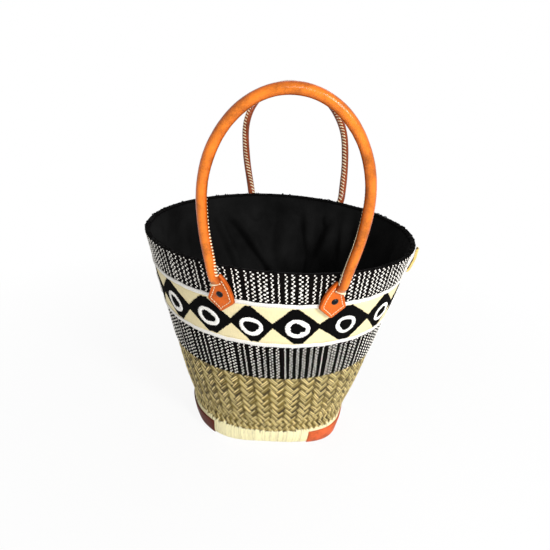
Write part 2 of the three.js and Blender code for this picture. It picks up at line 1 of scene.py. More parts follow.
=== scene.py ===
"""Embroidered basket: palm, striped cloth, embroidery, lining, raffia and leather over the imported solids."""

import json
import math

import bpy
import numpy as np
from mathutils import Matrix


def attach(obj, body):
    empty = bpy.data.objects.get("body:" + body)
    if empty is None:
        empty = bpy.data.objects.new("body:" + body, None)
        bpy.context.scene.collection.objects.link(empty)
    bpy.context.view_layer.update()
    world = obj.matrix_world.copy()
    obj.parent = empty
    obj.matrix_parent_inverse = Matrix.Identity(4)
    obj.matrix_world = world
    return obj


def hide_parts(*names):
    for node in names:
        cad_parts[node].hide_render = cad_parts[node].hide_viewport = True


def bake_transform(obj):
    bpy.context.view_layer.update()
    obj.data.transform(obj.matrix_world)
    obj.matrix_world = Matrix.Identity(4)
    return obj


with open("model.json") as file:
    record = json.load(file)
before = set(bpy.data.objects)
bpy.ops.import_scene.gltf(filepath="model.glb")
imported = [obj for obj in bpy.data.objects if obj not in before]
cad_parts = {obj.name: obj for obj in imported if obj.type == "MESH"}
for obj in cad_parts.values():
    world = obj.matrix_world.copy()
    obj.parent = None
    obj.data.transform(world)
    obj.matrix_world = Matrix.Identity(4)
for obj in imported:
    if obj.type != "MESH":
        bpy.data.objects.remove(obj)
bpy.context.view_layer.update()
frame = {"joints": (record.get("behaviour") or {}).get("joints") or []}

bl_info = {
    "name": "Embroidered basket",
    "version": (1, 0, 0),
    "blender": (4, 5, 0),
    "location": "3D View > Sidebar > Basket",
    "description": "Makes the woven, sewn and leather pieces of an embroidered palm-leaf basket",
    "category": "Object",
}

MM = 0.001
TURN = 2 * math.pi
ENDS = ("front_left", "front_right", "rear_left", "rear_right")

# The patterns lean: they move along the wall as they go down
LEAN = 0.10

# Place of the seam where the ends of the bands, the panel and the cords meet, under the strip
END_SEAM = 236.0

# Heights in millimetres: the edge of the palm, and the edge of the upper band's cloth
PALM_TOP = 320.5
BAND_TOP = 321.2

# The foot's lower edge is rounded off below this height, by this much
FOOT_EDGE = 9
FOOT_ROUND = 2.0


# Settings

def linear(text):
    """An sRGB hex colour as linear RGBA."""
    parts = [int(text[i:i + 2], 16) / 255 for i in (1, 3, 5)]
    return tuple(p / 12.92 if p <= 0.04045 else ((p + 0.055) / 1.055) ** 2.4 for p in parts) + (1.0,)


def length(name, description, millimetres):
    """A length in the sidebar, kept in metres."""
    return bpy.props.FloatProperty(
        name=name, description=description, default=millimetres * MM, min=0, unit="LENGTH", precision=4)


def colour(name, description, text):
    """A colour in the sidebar."""
    return bpy.props.FloatVectorProperty(
        name=name, description=description, default=linear(text), size=4, min=0, max=1, subtype="COLOR")


def angle(name, description, degrees):
    """An angle in the sidebar, kept in radians."""
    return bpy.props.FloatProperty(
        name=name, description=description, default=math.radians(degrees), subtype="ANGLE")


def count(name, description, number):
    """A whole number in the sidebar."""
    return bpy.props.IntProperty(name=name, description=description, default=number, min=1)


class BasketSizes(bpy.types.PropertyGroup):
    """Sizes of the basket that its pieces are made from"""
    mouth_length: length("Mouth length", "Length of the palm's mouth", 400)
    mouth_width: length("Mouth width", "Width of the palm's mouth", 360)
    base_length: length("Base length", "Length of the base", 236)
    base_width: length("Base width", "Width of the base", 223)
    curve_length: length("Curve length", "How much shorter the curve towards the floor makes the base", 20)
    curve_width: length("Curve width", "How much narrower the curve towards the floor makes the base", 15)
    curve_height: length("Curve height", "Height below which the wall curves in", 110)
    corner_height: length("Corner height", "Height below which the oval turns into a rounded oblong", 42)
    height: length("Height", "Height of the rim above the floor", 322)
    upper_cord: length("Upper cord", "Height of the upper white cord", 277)
    lower_cord: length("Lower cord", "Height of the lower white cord", 211)
    band_bottom: length("Band bottom", "Height of the lower band's bottom edge", 148)
    cord_height: length("Cord height", "Height of a white cord", 6.2)
    cord_thickness: length("Cord thickness", "How far a white cord stands out", 2.6)
    twill_repeats: count("Twill repeats", "Repeats of the palm twill round the basket", 42)
    twill_pitch: length("Twill pitch", "Height of one step of the palm twill", 13)
    upper_columns: count("Upper columns", "Columns of white dashes round the upper band", 140)
    lower_columns: count("Lower columns", "Columns of white dashes round the lower band", 114)
    stripe_pitch: length("Stripe pitch", "Height of one row of dashes", 2.65)
    diamond_count: count("Diamonds", "Diamonds round the panel", 17)
    diamond_height: length("Diamond height", "Height of a diamond", 57)
    pattern_start: length("Pattern start", "Place of the first diamond's tip, from the front centre", 8.7)
    ring_width: length("Ring width", "Width of an embroidered ring", 34)
    ring_height: length("Ring height", "Height of an embroidered ring", 32)
    ring_stroke: length("Ring stroke", "Width of a ring's stitching", 5.6)
    roll_diameter: length("Roll diameter", "Diameter of the rolled handles", 12.6)
    handle_width: length("Handle width", "Width of a handle at its shoulders", 183)
    front_shoulder: length("Front shoulder", "Height of the front handle's shoulders above its hinge", 88)
    rear_shoulder: length("Rear shoulder", "Height of the rear handle's shoulders above its hinge", 98)
    front_rise: length("Front rise", "Height of the front handle's top above its hinge", 216)
    rear_rise: length("Rear rise", "Height of the rear handle's top above its hinge", 201)
    front_sway: length("Front sway", "How far the front handle's top hangs to its right leg", 3)
    rear_sway: length("Rear sway", "How far the rear handle's top hangs to its right leg", 29)
    front_lean: angle("Front lean", "How far the front handle leans out from the basket", 14)
    rear_lean: angle("Rear lean", "How far the rear handle leans out from the basket", 28.7)
    rivet_height: length("Rivet height", "Height of the rivets", 288.5)
    rivet_spacing: length("Rivet spacing", "Distance between the two rivets of a handle", 142)


class BasketColours(bpy.types.PropertyGroup):
    """Colours of the basket's materials"""
    palm_light: colour("Palm, light", "Lightest palm strips", "#EAD694")
    palm_mid: colour("Palm, middle", "Most of the palm strips", "#A28A42")
    palm_dark: colour("Palm, dark", "Darkest palm strips and the gaps", "#382808")
    lining: colour("Lining", "Black cotton lining", "#151515")
    stripe_black: colour("Cloth", "Black ground of the striped bands", "#0C0908")
    stripe_white: colour("Dashes", "White dashes of the striped bands", "#FFFAF0")
    cream: colour("Cream raffia", "Ground of the embroidered panel", "#F2E3B2")
    yarn_black: colour("Black thread", "Diamonds and rim stitching", "#080707")
    yarn_white: colour("White yarn", "Rings and cords", "#FDFAF3")
    foot_raffia: colour("Foot raffia", "Binding of the foot", "#F2E9BE")
    foot_leather: colour("Foot leather", "Patches at the right of the foot", "#D05E30")
    # Colour of the left patches: the same leather as the right ones, painted darker as shade
    foot_leather_in_painted_shade: colour("Dark leather", "Patches at the left of the foot", "#541A08")
    tab_leather: colour("Tab leather", "Riveted ends of the handles", "#D4600E")
    # The rolled handles' colour, times painted light: the next colour is the painted shade on the side facing
    # into the basket, and the outer and upper side is painted up to a pale highlight
    handle_leather: colour("Handle leather", "Rolled handles, on the polished side", "#DA6C16")
    handle_painted_shade: colour("Handle leather, inner", "Rolled handles, on the side of the seam", "#8A3C10")
    seam_strip: colour("Seam strip", "Strip over the band's end seam", "#E8C878")
    rivet: colour("Rivet metal", "Rivets and washers", "#26282B")
    waxed: colour("Waxed thread", "Stitching of the leather", "#F4E2BC")


# Small sums

def bell(distance, width):
    """A smooth bump: 1 at no distance, and next to nothing two widths away."""
    return np.exp(-(distance / width) ** 2)


def ease(share):
    """A share, held between 0 and 1, that starts and ends gently."""
    share = np.clip(share, 0, 1)
    return share * share * (3 - 2 * share)


def unit(vectors):
    """Vectors made one long."""
    return vectors / np.linalg.norm(vectors, axis=-1, keepdims=True)


def rotated(x, y, turn):
    """Flat points turned about the origin."""
    return x * np.cos(turn) - y * np.sin(turn), x * np.sin(turn) + y * np.cos(turn)


def reach_of(line):
    """Distance along a line to each of its points."""
    return np.concatenate([[0], np.cumsum(np.linalg.norm(np.diff(line, axis=0), axis=1))])


def at_reach(places, reach, values):
    """Rows of values, read off at places along a line."""
    return np.stack([np.interp(places, reach, column) for column in values.T], 1)


# The flaring oval wall

class Wall:
    """Places on the wall, in millimetres: along the panel's middle from the front centre, up, and out."""

    # Near the floor one corner is squarer, one end is pressed in and one side bulges: the angle where each
    # is, its spread and its amount; the whole oval also turns oblong there
    CORNER = (-0.7, 0.35, 0.8)
    PRESSED = (0.05, 0.5, 0.09)
    BULGE = (-2.0, 0.35, 0.045)
    OBLONG = 0.7

    # The handles draw up the rim: from this height, over this distance, by this much at front and rear
    PULL_FROM = 290
    PULL_OVER = 31
    FRONT_PULL = 4.5
    REAR_PULL = 2

    def __init__(self, sizes):
        half = 0.5 / MM
        self.base = (sizes.base_length * half, sizes.base_width * half)
        self.curve = (sizes.curve_length * half, sizes.curve_width * half)
        self.mouth = (sizes.mouth_length * half, sizes.mouth_width * half)
        self.curve_height = sizes.curve_height / MM
        self.corner_height = sizes.corner_height / MM
        self.height = sizes.height / MM
        self.middle = (sizes.upper_cord + sizes.lower_cord) / (2 * MM)
        self.turns = np.linspace(-0.5, 1.5, 4001) * math.pi
        half_length, half_width = self.halves(self.middle)
        oval = np.stack([half_length * np.cos(self.turns), half_width * np.sin(self.turns)], 1)
        self.steps = reach_of(oval)
        self.girth = self.steps[-1]

    def halves(self, z):
        """Half the length and half the width at a height: straight above, curving in towards the floor."""
        rise = np.asarray(z) / self.height
        draw = np.clip(1 - np.asarray(z) / self.curve_height, 0, 1) ** 2
        return [low + curve + (high - low - curve) * rise - curve * draw
                for low, curve, high in zip(self.base, self.curve, self.mouth)]

    def squareness(self, angle, z):
        """How far the rounded oblong near the floor reaches past the plain oval."""
        angle = (np.asarray(angle) + math.pi) % TURN - math.pi
        low = np.clip(1 - np.asarray(z) / self.corner_height, 0, 1)
        corner, pressed, bulge = (
            amount * bell(angle - middle, spread)
            for middle, spread, amount in (self.CORNER, self.PRESSED, self.BULGE))
        power = 2 + (self.OBLONG + corner) * low
        oblong = (np.abs(np.cos(angle)) ** power + np.abs(np.sin(angle)) ** power) ** (-1 / power)
        return oblong - (pressed - bulge) * low

    def pulled_up(self, angle, z):
        """The soft rim rises a little where the handles hang from it."""
        front = self.FRONT_PULL * np.clip(-np.sin(angle), 0, 1) ** 2
        rear = self.REAR_PULL * np.clip(np.sin(angle), 0, 1) ** 4
        return z + (front + rear) * ease((np.asarray(z) - self.PULL_FROM) / self.PULL_OVER)

    def radius(self, z):
        """Mean radius at a height."""
        return sum(self.halves(z)) / 2

    def stretch(self, z):
        """Millimetres along the panel's middle for one at height z."""
        return self.radius(self.middle) / self.radius(z)

    def point(self, place, z, out):
        """Points in metres."""
        angle = np.interp(np.mod(place, self.girth), self.steps, self.turns)
        half_length, half_width = self.halves(z)
        grow = (1 + out / self.radius(z)) * self.squareness(angle, z)
        x = half_length * grow * np.cos(angle)
        y = half_width * grow * np.sin(angle)
        return np.stack(np.broadcast_arrays(x, y, self.pulled_up(angle, z)), -1) * MM

    def frame(self, place, z):
        """Axes at a place on the palm's outer face: along the wall, up it, out of it, and its point."""
        along = unit(self.point(place + 0.5, z, 0) - self.point(place - 0.5, z, 0))
        up = self.point(place, self.middle, 0) - self.point(place, self.curve_height, 0)
        out = unit(np.cross(along, up))
        return along, np.cross(out, along), out, self.point(place, z, 0)


def lay_on_wall(wall, local, place, z, out, turn=0.0, sizes=(1, 1, 1), lean=LEAN):
    """Copies of flat points set on the wall: x along, y up, z out, all in millimetres."""
    place, z, out, turn = (np.reshape(v, (-1, 1)) for v in np.broadcast_arrays(place, z, out, turn))
    x, y, rise = (local[:, i] * np.reshape(sizes[i], (-1, 1)) for i in range(3))
    along, up = rotated(x, y, turn)
    up = z + up
    return wall.point(place + along + lean * (wall.middle - up), up, out + rise)


def foot_round(z):
    """How far the foot's lower edge is rounded off, in millimetres."""
    return -FOOT_ROUND * np.clip((FOOT_EDGE - np.asarray(z)) / FOOT_EDGE, 0, 1) ** 2


# Making and dressing pieces

def pick(piece):
    """Make a piece the one that operators work on."""
    bpy.ops.object.select_all(action="DESELECT")
    bpy.context.view_layer.objects.active = piece
    piece.select_set(True)


def fresh_grid(name, columns, rows):
    """A flat grid from 0 to 1, to be shaped."""
    bpy.ops.object.select_all(action="DESELECT")
    bpy.ops.mesh.primitive_grid_add(
        x_subdivisions=columns, y_subdivisions=rows, size=1, location=(0.5, 0.5, 0))
    bpy.ops.object.transform_apply(location=True)
    piece = bpy.context.object
    piece.name = name
    piece.data.name = name
    return piece


def read(data, key, width, kind):
    """One flat array of what every item of a mesh layer holds."""
    values = np.empty(len(data) * width, kind)
    data.foreach_get(key, values)
    return values


def points_of(piece):
    """Corners of a mesh, one a row."""
    return read(piece.data.vertices, "co", 3, float).reshape(-1, 3)


def shares_of(piece):
    """The two shares, from 0 to 1, at each corner of a fresh grid."""
    return points_of(piece)[:, :2].T


def set_points(piece, points):
    """Move the corners of a mesh."""
    piece.data.vertices.foreach_set("co", np.ascontiguousarray(points, np.float32).ravel())
    piece.data.update()


def lift(piece, along, across, rise):
    """Raise the corners that lie within a range along and a range across."""
    x, y = shares_of(piece)
    chosen = (x > along[0]) & (x < along[1]) & (y > across[0]) & (y < across[1])
    bpy.ops.object.mode_set(mode="EDIT")
    bpy.ops.mesh.select_mode(type="VERT")
    bpy.ops.mesh.select_all(action="DESELECT")
    bpy.ops.object.mode_set(mode="OBJECT")
    piece.data.vertices.foreach_set("select", chosen)
    bpy.ops.object.mode_set(mode="EDIT")
    bpy.ops.transform.translate(value=(0, 0, rise))
    bpy.ops.object.mode_set(mode="OBJECT")


# Ranges across or along a small grid
ANYWHERE = (-1, 2)
INSIDE = (0.05, 0.95)
MIDDLE = (0.45, 0.55)


def raised(name, columns, rows, *lifts):
    """A small seed raised by each lift in turn, and its points about its middle."""
    seed = fresh_grid(name, columns, rows)
    for along, across, rise in lifts:
        lift(seed, along, across, rise)
    return seed, points_of(seed) - (0.5, 0.5, 0)


def satin_stitch():
    """One satin stitch along x, rounded across y and tucked in at its ends."""
    return raised(
        "stitch", 5, 4, (INSIDE, ANYWHERE, 0.35), ((0.25, 0.75), ANYWHERE, 0.2), (ANYWHERE, INSIDE, 0.5),
        (ANYWHERE, MIDDLE, 0.22))


def thread(name, shape):
    """A short thread; shape gives its points, in millimetres, from the share along and the angle round it."""
    seed = fresh_grid(name, 7, 5)
    along, round_it = shares_of(seed)
    set_points(seed, np.stack(shape(along, TURN * round_it), 1) * MM)
    weld(seed)
    return seed, points_of(seed) / MM


def weld(piece, closed=True):
    """Join seams and poles; a closed piece also has its holes filled and its faces turned outwards."""
    pick(piece)
    bpy.ops.object.mode_set(mode="EDIT")
    bpy.ops.mesh.select_all(action="SELECT")
    bpy.ops.mesh.remove_doubles(threshold=1e-6)
    if closed:
        bpy.ops.mesh.fill_holes(sides=0)
        bpy.ops.mesh.normals_make_consistent(inside=False)
    bpy.ops.object.mode_set(mode="OBJECT")
    bpy.ops.object.shade_smooth()


def modify(piece, kind, **settings):
    """Add a modifier and apply it."""
    pick(piece)
    modifier = piece.modifiers.new(kind.title(), kind)
    for name, value in settings.items():
        setattr(modifier, name, value)
    bpy.ops.object.modifier_apply(modifier=modifier.name)


def round_the_wall(name, wall, profile, steps, shape=None):
    """A closed profile of (out, z) carried round the wall; shape may move it with the turn and the row."""
    profile = np.array([*profile, profile[0]], float)
    piece = fresh_grid(name, steps, len(profile) - 1)
    turn, row = shares_of(piece)
    out, z = at_reach(row, np.linspace(0, 1, len(profile)), profile).T
    if shape:
        out, z = shape(turn, row, out, z)
    set_points(piece, wall.point(END_SEAM + turn * wall.girth, z, out))
    weld(piece)
    return piece


def leather_patch(name, columns, rows, shape):
    """A leather patch with soft edges; shape gives its points from the shares along, up and through it."""
    piece = fresh_grid(name, columns, rows)
    modify(piece, "SOLIDIFY", thickness=0.02, offset=1)
    along, up, through = points_of(piece).T
    set_points(piece, shape(along, up, (through - through.min()) / np.ptp(through)))
    modify(piece, "BEVEL", width=0.5 * MM, segments=2, limit_method="ANGLE")
    bpy.ops.object.shade_smooth_by_angle(angle=math.radians(50))
    return piece


def strew(name, seed, placed, tones, smooth=True):
    """One mesh with a copy of the seed's faces for each row of placed points, and one tone for each copy."""
    source = seed.data
    copies, corners = placed.shape[:2]
    loops = read(source.loops, "vertex_index", 1, np.int32)
    starts = read(source.polygons, "loop_start", 1, np.int32)
    flat = read(source.uv_layers.active.data, "uv", 2, np.float32)
    order = np.arange(copies)[:, None]
    mesh = bpy.data.meshes.new(name)
    mesh.vertices.add(copies * corners)
    mesh.vertices.foreach_set("co", np.ascontiguousarray(placed, np.float32).ravel())
    mesh.loops.add(copies * len(loops))
    mesh.loops.foreach_set("vertex_index", (loops + corners * order).astype(np.int32).ravel())
    mesh.polygons.add(copies * len(starts))
    mesh.polygons.foreach_set("loop_start", (starts + len(loops) * order).astype(np.int32).ravel())
    mesh.polygons.foreach_set("use_smooth", np.full(copies * len(starts), smooth))
    mesh.update(calc_edges=True)
    mesh.uv_layers.new(name="UVMap").data.foreach_set("uv", np.tile(flat, copies))
    tone = mesh.attributes.new("tone", "FLOAT", "POINT")
    tone.data.foreach_set("value", np.repeat(tones, corners).astype(np.float32))
    piece = bpy.data.objects.new(name, mesh)
    bpy.context.scene.collection.objects.link(piece)
    bpy.data.objects.remove(seed)
    return piece


def dress(piece, material, nodes=(), body="basket"):
    """Give a piece its material and slot, make it ride on a body and stand for CAD nodes."""
    piece.data.materials.clear()
    piece.data.materials.append(material)
    if body:
        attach(piece, body)
    if nodes:
        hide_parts(*nodes)


# Materials

def add_node(tree, kind, inputs=None, stops=None, **settings):
    """Add a node with its settings; each input is a value or the socket that feeds it."""
    node = tree.nodes.new(kind)
    for name, value in settings.items():
        setattr(node, name, value)
    if stops:
        ramp = node.color_ramp
        ramp.elements[0].position, ramp.elements[0].color = stops[0]
        ramp.elements[1].position, ramp.elements[1].color = stops[-1]
        for place, tint in stops[1:-1]:
            ramp.elements.new(place).color = tint
    for socket, value in (inputs or {}).items():
        if isinstance(value, bpy.types.NodeSocket):
            tree.links.new(value, node.inputs[socket])
        else:
            node.inputs[socket].default_value = value
    return node


def shade(tint, factor):
    """A colour made darker or lighter."""
    return tuple(min(1.0, c * factor) for c in tint[:3]) + (1.0,)


class Look:
    """A material in the making; each method adds a node and gives the socket that the next one takes."""

    def __init__(self, name, numbers):
        self.material = bpy.data.materials.new(name)
        self.material.use_nodes = True
        self.tree = self.material.node_tree
        self.tree.nodes.clear()
        self.shader = self.add("ShaderNodeBsdfPrincipled", numbers)
        self.add("ShaderNodeOutputMaterial", {"Surface": self.shader.outputs["BSDF"]})
        places = self.add("ShaderNodeTexCoord")
        self.flat = places.outputs["UV"]
        self.solid = places.outputs["Object"]

    def add(self, kind, inputs=None, stops=None, **settings):
        return add_node(self.tree, kind, inputs, stops, **settings)

    def attribute(self, name, output="Fac"):
        return self.add("ShaderNodeAttribute", attribute_name=name).outputs[output]

    def math(self, operation, *values):
        return self.add("ShaderNodeMath", dict(enumerate(values)), operation=operation).outputs[0]

    def stretched(self, amounts):
        """The flat places, stretched."""
        return self.add("ShaderNodeVectorMath", {0: self.flat, 1: amounts}, operation="MULTIPLY").outputs[0]

    def own_part(self, amounts):
        """The flat places, stretched, with each strip moved to its own part of the grain by its tone."""
        tone = self.attribute("tone", "Vector")
        depth = self.add("ShaderNodeVectorMath", {0: tone, "Scale": 40.0}, operation="SCALE").outputs[0]
        return self.add("ShaderNodeVectorMath", {0: self.stretched(amounts), 1: depth}).outputs[0]

    def noise(self, where, scale, detail, roughness=0.5):
        return self.add("ShaderNodeTexNoise", {
            "Vector": where, "Scale": scale, "Detail": detail, "Roughness": roughness}).outputs["Fac"]

    def checks(self, amounts):
        """A plain weave: squares over the flat places, stretched."""
        where = self.stretched(amounts)
        return self.add("ShaderNodeTexChecker", {"Vector": where, "Scale": 1.0}).outputs["Fac"]

    def ramp(self, level, *stops):
        stops = [(place, tuple(tint)) for place, tint in stops]
        return self.add("ShaderNodeValToRGB", {"Fac": level}, stops).outputs["Color"]

    def shades(self, level, tint, *stops):
        """A ramp of one colour, made darker or lighter by the factor at each stop."""
        return self.ramp(level, *((place, shade(tint, factor)) for place, factor in stops))

    def times(self, first, second):
        return self.add("ShaderNodeMix", {0: 1.0, 6: first, 7: second}, data_type="RGBA",
                        blend_type="MULTIPLY").outputs[2]

    def bump(self, height, strength, depth, under=None):
        """Relief, with its depth in millimetres, over the relief under it."""
        inputs = {"Height": height, "Strength": strength, "Distance": depth * MM}
        if under is not None:
            inputs["Normal"] = under
        return self.add("ShaderNodeBump", inputs).outputs["Normal"]

    def finish(self, feeds):
        """Feed the shader's sockets and give the material."""
        for name, feed in feeds.items():
            self.tree.links.new(feed, self.shader.inputs[name])
        return self.material


def palm_leaf(colours):
    """Dried palm leaf, split and plaited: satin strips with long fibres, straw to olive, with painted shade at
    the ends and along the edges of each strip.
    """
    look = Look("Dried palm leaf, plaited", {"Roughness": 0.5, "Specular IOR Level": 0.25})
    # Fibres are about 0.4 mm wide and 9 mm long
    grain = look.noise(look.own_part((2.2, 8.0, 0.0)), 1.0, 3.0)
    level = look.math("ADD", look.attribute("tone"), look.math("MULTIPLY_ADD", grain, 0.5, -0.25))
    tint = look.ramp(
        level, (0.0, colours.palm_dark), (0.25, shade(colours.palm_mid, 0.55)), (0.5, colours.palm_mid),
        (0.78, colours.palm_light), (1.0, shade(colours.palm_light, 1.2)))
    parts = look.add("ShaderNodeSeparateXYZ", {"Vector": look.flat})
    # Painted shade where a strip goes under its neighbours: it comes up slowly out of the shade at one end and
    # ends in a short dark dive at the other
    painted_end_shade = look.ramp(
        parts.outputs["X"], (0.0, (0.15, 0.12, 0.07, 1)), (0.12, (0.75, 0.72, 0.66, 1)),
        (0.25, (1, 1, 1, 1)), (0.86, (1, 1, 1, 1)), (0.96, (0.12, 0.10, 0.06, 1)))
    # Painted shade along both edges of each strip, darker along one edge, where the strips meet
    split = look.ramp(
        parts.outputs["Y"], (0.0, (0.16, 0.13, 0.07, 1)), (0.22, (1, 1, 1, 1)), (0.85, (1, 1, 1, 1)),
        (1.0, (0.5, 0.45, 0.35, 1)))
    tint = look.times(look.times(tint, painted_end_shade), split)
    return look.finish({"Base Color": tint, "Normal": look.bump(grain, 0.5, 0.6)})


def palm_ground(colours):
    """The shaded palm strips under the top ones: dark brown, dull and streaked."""
    look = Look("Palm leaf in shadow", {"Roughness": 0.8})
    grain = look.noise(look.solid, 160.0, 3.0)
    tint = look.shades(grain, colours.palm_dark, (0.3, 0.45), (0.7, 1.1))
    return look.finish({"Base Color": tint})


def black_cotton(colours):
    """Plain-woven black cotton: dull, with a faint thread texture and a little dust in soft patches."""
    look = Look("Black cotton lining", {"Roughness": 0.8, "Specular IOR Level": 0.03})
    # Threads are 0.4 mm apart on the real cloth, drawn 1.2 mm apart so that they show
    weave = look.checks((1000.0, 270.0, 1.0))
    dust = look.noise(look.solid, 25.0, 4.0)
    tint = look.shades(dust, colours.lining, (0.3, 0.6), (0.75, 1.5))
    return look.finish({"Base Color": tint, "Normal": look.bump(weave, 0.15, 0.3)})


# Each thread's colour, its shine, and how dark the painted shade in the hollows between its plies is
THREADS = {
    "White cotton yarn": ("yarn_white", 0.3, 0.8),
    "Waxed linen thread": ("waxed", 0.3, 0.7),
    "Black cotton thread": ("yarn_black", 0.04, 0.5),
    "White dashes, cotton": ("stripe_white", 0.3, 0.72),
}


def spun_thread(colours, name):
    """Spun thread: soft, matt, with a painted highlight along the twisted plies of each stitch and painted
    shade in the hollows between them; made only once.
    """
    if name in bpy.data.materials:
        return bpy.data.materials[name]
    colour_name, specular, painted_hollow_shade = THREADS[name]
    look = Look(name, {"Roughness": 0.8, "Specular IOR Level": specular})
    # Plies, as slanted lines over each stitch: the plies painted lighter as a highlight, the hollows between
    # them painted darker as shade
    twist = look.add("ShaderNodeTexWave", {
        "Vector": look.flat, "Scale": 2.2, "Distortion": 1.5, "Detail": 2.0}, bands_direction="DIAGONAL")
    light = look.math("MULTIPLY", look.noise(look.solid, 1400.0, 2.0), twist.outputs["Fac"])
    level = look.math("MULTIPLY_ADD", look.attribute("tone"), 0.4, light)
    tint = look.shades(level, getattr(colours, colour_name), (0.0, painted_hollow_shade), (0.4, 1), (1.0, 1.12))
    return look.finish({"Base Color": tint, "Normal": look.bump(light, 0.3, 0.3)})


def striped_cloth(colours, rows, columns):
    """Coarse black handwoven cloth: thick weft rows over warp columns, dusty black, browner on some threads at
    random, with painted shade in the gaps between threads.
    """
    look = Look("Black handwoven cloth", {"Roughness": 0.85, "Specular IOR Level": 0.04})
    # The bricks are the threads, lighter or darker at random; the black mortar between them is painted shade
    # in the gaps
    weave = look.add("ShaderNodeTexBrick", {
        "Vector": look.stretched((columns, rows, 1.0)), "Scale": 1.0, "Mortar Size": 0.12,
        "Mortar Smooth": 1.0, "Brick Width": 1.0, "Row Height": 1.0, "Color1": (1, 1, 1, 1),
        "Color2": (0.5, 0.5, 0.5, 1), "Mortar": (0, 0, 0, 1)}).outputs["Color"]
    level = look.math("MULTIPLY", weave, look.noise(look.solid, 500.0, 3.0))
    tint = look.shades(level, colours.stripe_black, (0.0, 0.4), (0.5, 1), (0.9, 2.4))
    return look.finish({"Base Color": tint, "Normal": look.bump(weave, 0.6, 0.8)})


def woven_raffia(colours, columns, rows):
    """Fine raffia cloth: flat straw threads in a plain weave, cream with paler and browner threads."""
    look = Look("Woven cream raffia", {"Roughness": 0.6})
    warp = look.noise(look.stretched((columns, 6.0, 1.0)), 1.0, 2.0)
    weft = look.noise(look.stretched((90.0, rows, 1.0)), 1.0, 2.0)
    over = look.checks((columns, rows, 1.0))
    weave = look.add("ShaderNodeMix", {0: over, 2: warp, 3: weft}, data_type="FLOAT").outputs[0]
    tint = look.shades(weave, colours.cream, (0.25, 0.84), (0.5, 1), (0.75, 1.08))
    return look.finish({"Base Color": tint, "Normal": look.bump(weave, 0.5, 0.4)})


def raffia_strand(colours):
    """Raffia split into flat strands: pale straw, satin, with long fibres and a few browner strands."""
    look = Look("Raffia strands", {"Roughness": 0.5, "Specular IOR Level": 0.25})
    grain = look.noise(look.own_part((7.0, 2.5, 0.0)), 1.0, 3.0)
    level = look.math("MULTIPLY_ADD", look.attribute("tone"), 0.6, grain)
    tint = look.shades(level, colours.foot_raffia, (0.4, 0.58), (0.75, 1), (1.0, 1.15))
    return look.finish({"Base Color": tint, "Normal": look.bump(grain, 0.4, 0.4)})


def tanned_leather(name, tint, roughness, blotch, grain_size, inner=None):
    """Vegetable-tanned cowhide: waxed, with cloudy dye, small pores and creases, and a soft shine; inner is
    the colour of the painted shade on the side of a rolled handle that faces into the basket."""
    look = Look(name, {"Roughness": roughness, "Specular IOR Level": 0.25})
    # Dye clouds are about 22 mm across, pores and creases 1 to 2 mm
    cloud = look.noise(look.solid, 45.0, 5.0, 0.6)
    fine = look.noise(look.solid, 420.0, 4.0)
    pores = look.add("ShaderNodeTexVoronoi", {
        "Vector": look.solid, "Scale": 1.0 / (grain_size * MM)}, feature="DISTANCE_TO_EDGE")
    level = look.math("MULTIPLY_ADD", fine, 0.3, cloud)
    surface = look.shades(level, tint, (0.38, 1 - blotch), (0.65, 1), (0.92, 1 + blotch * 0.5))
    relief = look.bump(pores.outputs["Distance"], 0.25, 0.5)
    relief = look.bump(fine, 0.2, 0.5, under=relief)
    if inner:
        # Painted light on the rolled handles: painted shade on the side facing into the basket and along the
        # flanks of the roll, and a pale painted highlight on the outer and upper side
        dull = tuple(a / b for a, b in zip(inner[:3], tint[:3])) + (1.0,)
        painted_light = look.ramp(
            look.attribute("worn"), (0.1, dull), (0.5, (0.3, 0.2, 0.13, 1)), (0.75, (0.82, 0.74, 0.65, 1)),
            (1.0, (1.15, 1.4, 2.2, 1)))
        surface = look.times(surface, painted_light)
    return look.finish({"Base Color": surface, "Normal": relief})


def burnished_steel(colours):
    """Burnished steel: dark grey, worn brighter in fine scratches."""
    look = Look("Burnished steel", {"Metallic": 1.0})
    worn = look.noise(look.solid, 900.0, 4.0)
    tint = look.shades(worn, colours.rivet, (0.3, 0.5), (0.7, 1.3))
    roughness = look.math("MULTIPLY_ADD", worn, 0.3, 0.15)
    return look.finish({"Base Color": tint, "Roughness": roughness})


# Operators, one for each piece or group of like pieces

class Maker:
    """What every operator that makes pieces starts with: the settings and the wall."""

    def execute(self, context):
        sizes = context.scene.basket_sizes
        self.make(sizes, context.scene.basket_colours, Wall(sizes))
        return {"FINISHED"}


